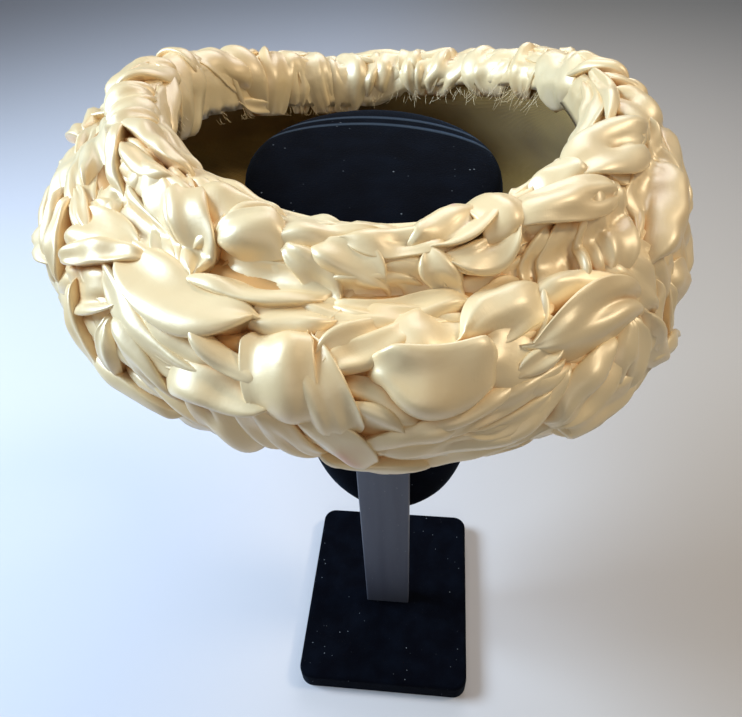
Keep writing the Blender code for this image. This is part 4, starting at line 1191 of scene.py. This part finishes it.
def paint_material():
    paint = Paint("grey_post_paint", Specular_IOR_Level=0.5)
    where = paint.object_place()
    streaks = paint.node("ShaderNodeMapping", None, {"Vector": where, "Scale": (120.0, 120.0, 9.0)})
    streak = paint.noise(streaks, 1.0, 3.0)
    mark = paint.noise(where, 420.0, 2.0).between(0.68, 0.75)
    colour = paint.mix(streak.between(0.3, 0.7), PAINT, PALE_PAINT)
    colour = paint.mix(mark * 0.35, colour, SCUFFED_PAINT)
    paint.set("Base Color", colour)
    paint.set("Roughness", 0.42 + 0.16 * streak)
    paint.bump(streak + mark * 0.4, 0.15, 0.0002)
    return paint.material


def fray_piece(wall, finish, rng):
    """Loose threads at the raw edge of the turned satin."""
    patches = []
    for fray in FRAYS:
        for _ in range(fray.count):
            bearing = rng.uniform(fray.bearing_first, fray.bearing_last)
            drop = fray.drop + rng.uniform(-2.0, 2.0)
            length = fray.length * rng.uniform(0.5, 1.5)
            scale = wall.per_degree(bearing, drop)
            heading = rng.uniform(-0.6, 0.6)
            curl = rng.uniform(-1.2, 1.2)
            share = np.linspace(0.0, 1.0, THREAD_POINTS)
            angle = heading + curl * share
            x = np.cumsum(np.sin(angle)) * length / THREAD_POINTS
            y = np.cumsum(np.cos(angle)) * length / THREAD_POINTS
            off = THREAD_START + fray.spread * share * rng.uniform(0.2, 1.4) + 0.6 * share
            line = wall.point(bearing + x / scale, drop - y, off)
            tangent = np.gradient(line, axis=0)
            tangent /= np.linalg.norm(tangent, axis=1, keepdims=True)
            first = np.cross(tangent, HAT_UP + 0.01)
            first /= np.linalg.norm(first, axis=1, keepdims=True)
            second = np.cross(tangent, first)
            rings = []
            for side in range(THREAD_SIDES):
                corner = 2 * pi * side / THREAD_SIDES
                rings.append(line + THREAD_RADIUS * (cos(corner) * first + sin(corner) * second))
            points = np.stack(rings, axis=1)
            patches.append(plain_patch(points, np.zeros((*points.shape[:2], 2))))
    piece = patch_mesh("frayed_threads", patches, Cover(), finish)
    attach(piece, "root")


def satin_pieces(wall, satin, rng):
    """Every row of plait and the turned rim, shaded together where they lie over each other."""
    cover = Cover()
    rows = {
        "upper": (UPPER_FOLDS, RIM_LINE, UPPER_LINE),
        "middle": (MIDDLE_FOLDS, UPPER_LINE, MIDDLE_LINE),
        "lower": (LOWER_FOLDS, MIDDLE_LINE, LOWER_LINE),
        "under": ([], LOWER_LINE, UNDER_END),
    }
    charted = UPPER_FOLDS + MIDDLE_FOLDS + LOWER_FOLDS
    made = {}
    for row, (folds, top, bottom) in rows.items():
        folds = shingled(folds, charted)
        patches = [fold_patch(fold, wall, rng, FINE) for fold in folds]
        hidden = repeated(folds, row, rng) if row in REPEATS else under_folds(rng)
        patches += [fold_patch(fold, wall, rng, COARSE) for fold in hidden]
        patches += [fold_patch(fold, wall, rng, PLAIN) for fold in filler_folds(top, bottom, rng)]
        made[row] = patches + [bed_patch(wall, top, bottom, BED_DEPTH + SINK, rng)]
    turning = [fold_patch(fold, wall, rng, FINE, 0.0) for fold in TURNING_FOLDS]
    made["turning"] = turning + [bed_patch(wall, TURNING_END, RIM_LINE, TURNING_BED, rng)]
    for patches in made.values():
        for patch in patches:
            cover.add(patch.bearing, patch.drop, patch.height)
    cover.smooth()
    for row, patches in made.items():
        node = "rim_turning" if row == "turning" else "plait_" + row
        piece = patch_mesh("satin_" + row, patches, cover, satin)
        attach(piece, "root")
        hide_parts(node)


def camera():
    """At the photograph's angle: turned with the hat, looking down into the ring."""
    turn = Matrix.Rotation(radians(CAMERA_TURN), 3, "Z")
    down = radians(CAMERA_DOWN)
    ahead = Vector((0.0, cos(down), -sin(down)))
    right = Vector((1.0, 0.0, 0.0))
    up = right.cross(ahead)
    roll = radians(CAMERA_ROLL)
    rolled_right = right * cos(roll) + up * sin(roll)
    rolled_up = up * cos(roll) - right * sin(roll)
    frame_axes = Matrix((turn @ rolled_right, turn @ rolled_up, turn @ -ahead)).transposed()
    lens = bpy.data.cameras.new("view")
    lens.sensor_width = CAMERA_SENSOR
    lens.lens = CAMERA_SENSOR * CAMERA_FOCAL / CAMERA_PICTURE
    lens.clip_start = 0.01
    eye = bpy.data.objects.new("view", lens)
    eye.matrix_world = Matrix.Translation(turn @ Vector(CAMERA_PLACE)) @ frame_axes.to_4x4()
    bpy.context.collection.objects.link(eye)
    bpy.context.scene.camera = eye


def light(row):
    lamp = bpy.data.lights.new(row.name, "AREA")
    lamp.shape = "DISK"
    lamp.size = row.size
    lamp.energy = row.power
    lamp.color = row.colour
    thing = bpy.data.objects.new(row.name, lamp)
    thing.location = row.place
    ahead = Vector(row.aim) - Vector(row.place)
    thing.rotation_euler = ahead.to_track_quat("-Z", "Y").to_euler()
    bpy.context.collection.objects.link(thing)


def surroundings():
    """A pale floor, with painted light and shade: cooler at the left, darker and warmer at the right.
    Plain soft light.
    """
    bpy.ops.object.select_all(action="DESELECT")
    bpy.ops.mesh.primitive_plane_add(size=6.0, location=(0.0, 0.0, -0.0005))
    floor = bpy.context.active_object
    floor.name = "floor"
    paint = Paint("pale_floor", Roughness=0.8)
    across, _, _ = paint.parts(paint.object_place())
    # Painted light and shade: the floor runs from cool and pale at the left to darker and warmer at
    # the right.
    paint.set("Base Color", paint.mix(across.between(-0.25, 0.35), FLOOR, FLOOR_WARM_SHADE))
    floor.data.materials.append(paint.material)
    world = bpy.data.worlds.new("soft_room")
    world.use_nodes = True
    backdrop = world.node_tree.nodes["Background"]
    backdrop.inputs["Color"].default_value = (*ROOM, 1.0)
    backdrop.inputs["Strength"].default_value = ROOM_STRENGTH
    bpy.context.scene.world = world
    bpy.context.scene.view_settings.view_transform = "Standard"
    for row in LIGHTS:
        light(row)


camera()
surroundings()
chance = np.random.default_rng(SEED)
hat_wall = Wall()
satin_finish = satin_material(hat_wall)
satin_pieces(hat_wall, satin_finish, chance)
fray_piece(hat_wall, satin_finish, chance)
foundation_piece(foundation_material(), chance)
bust_piece(velvet_material("bust_velvet", NECK_SEAMS))
stand_pieces(velvet_material("base_velvet", ()), paint_material())
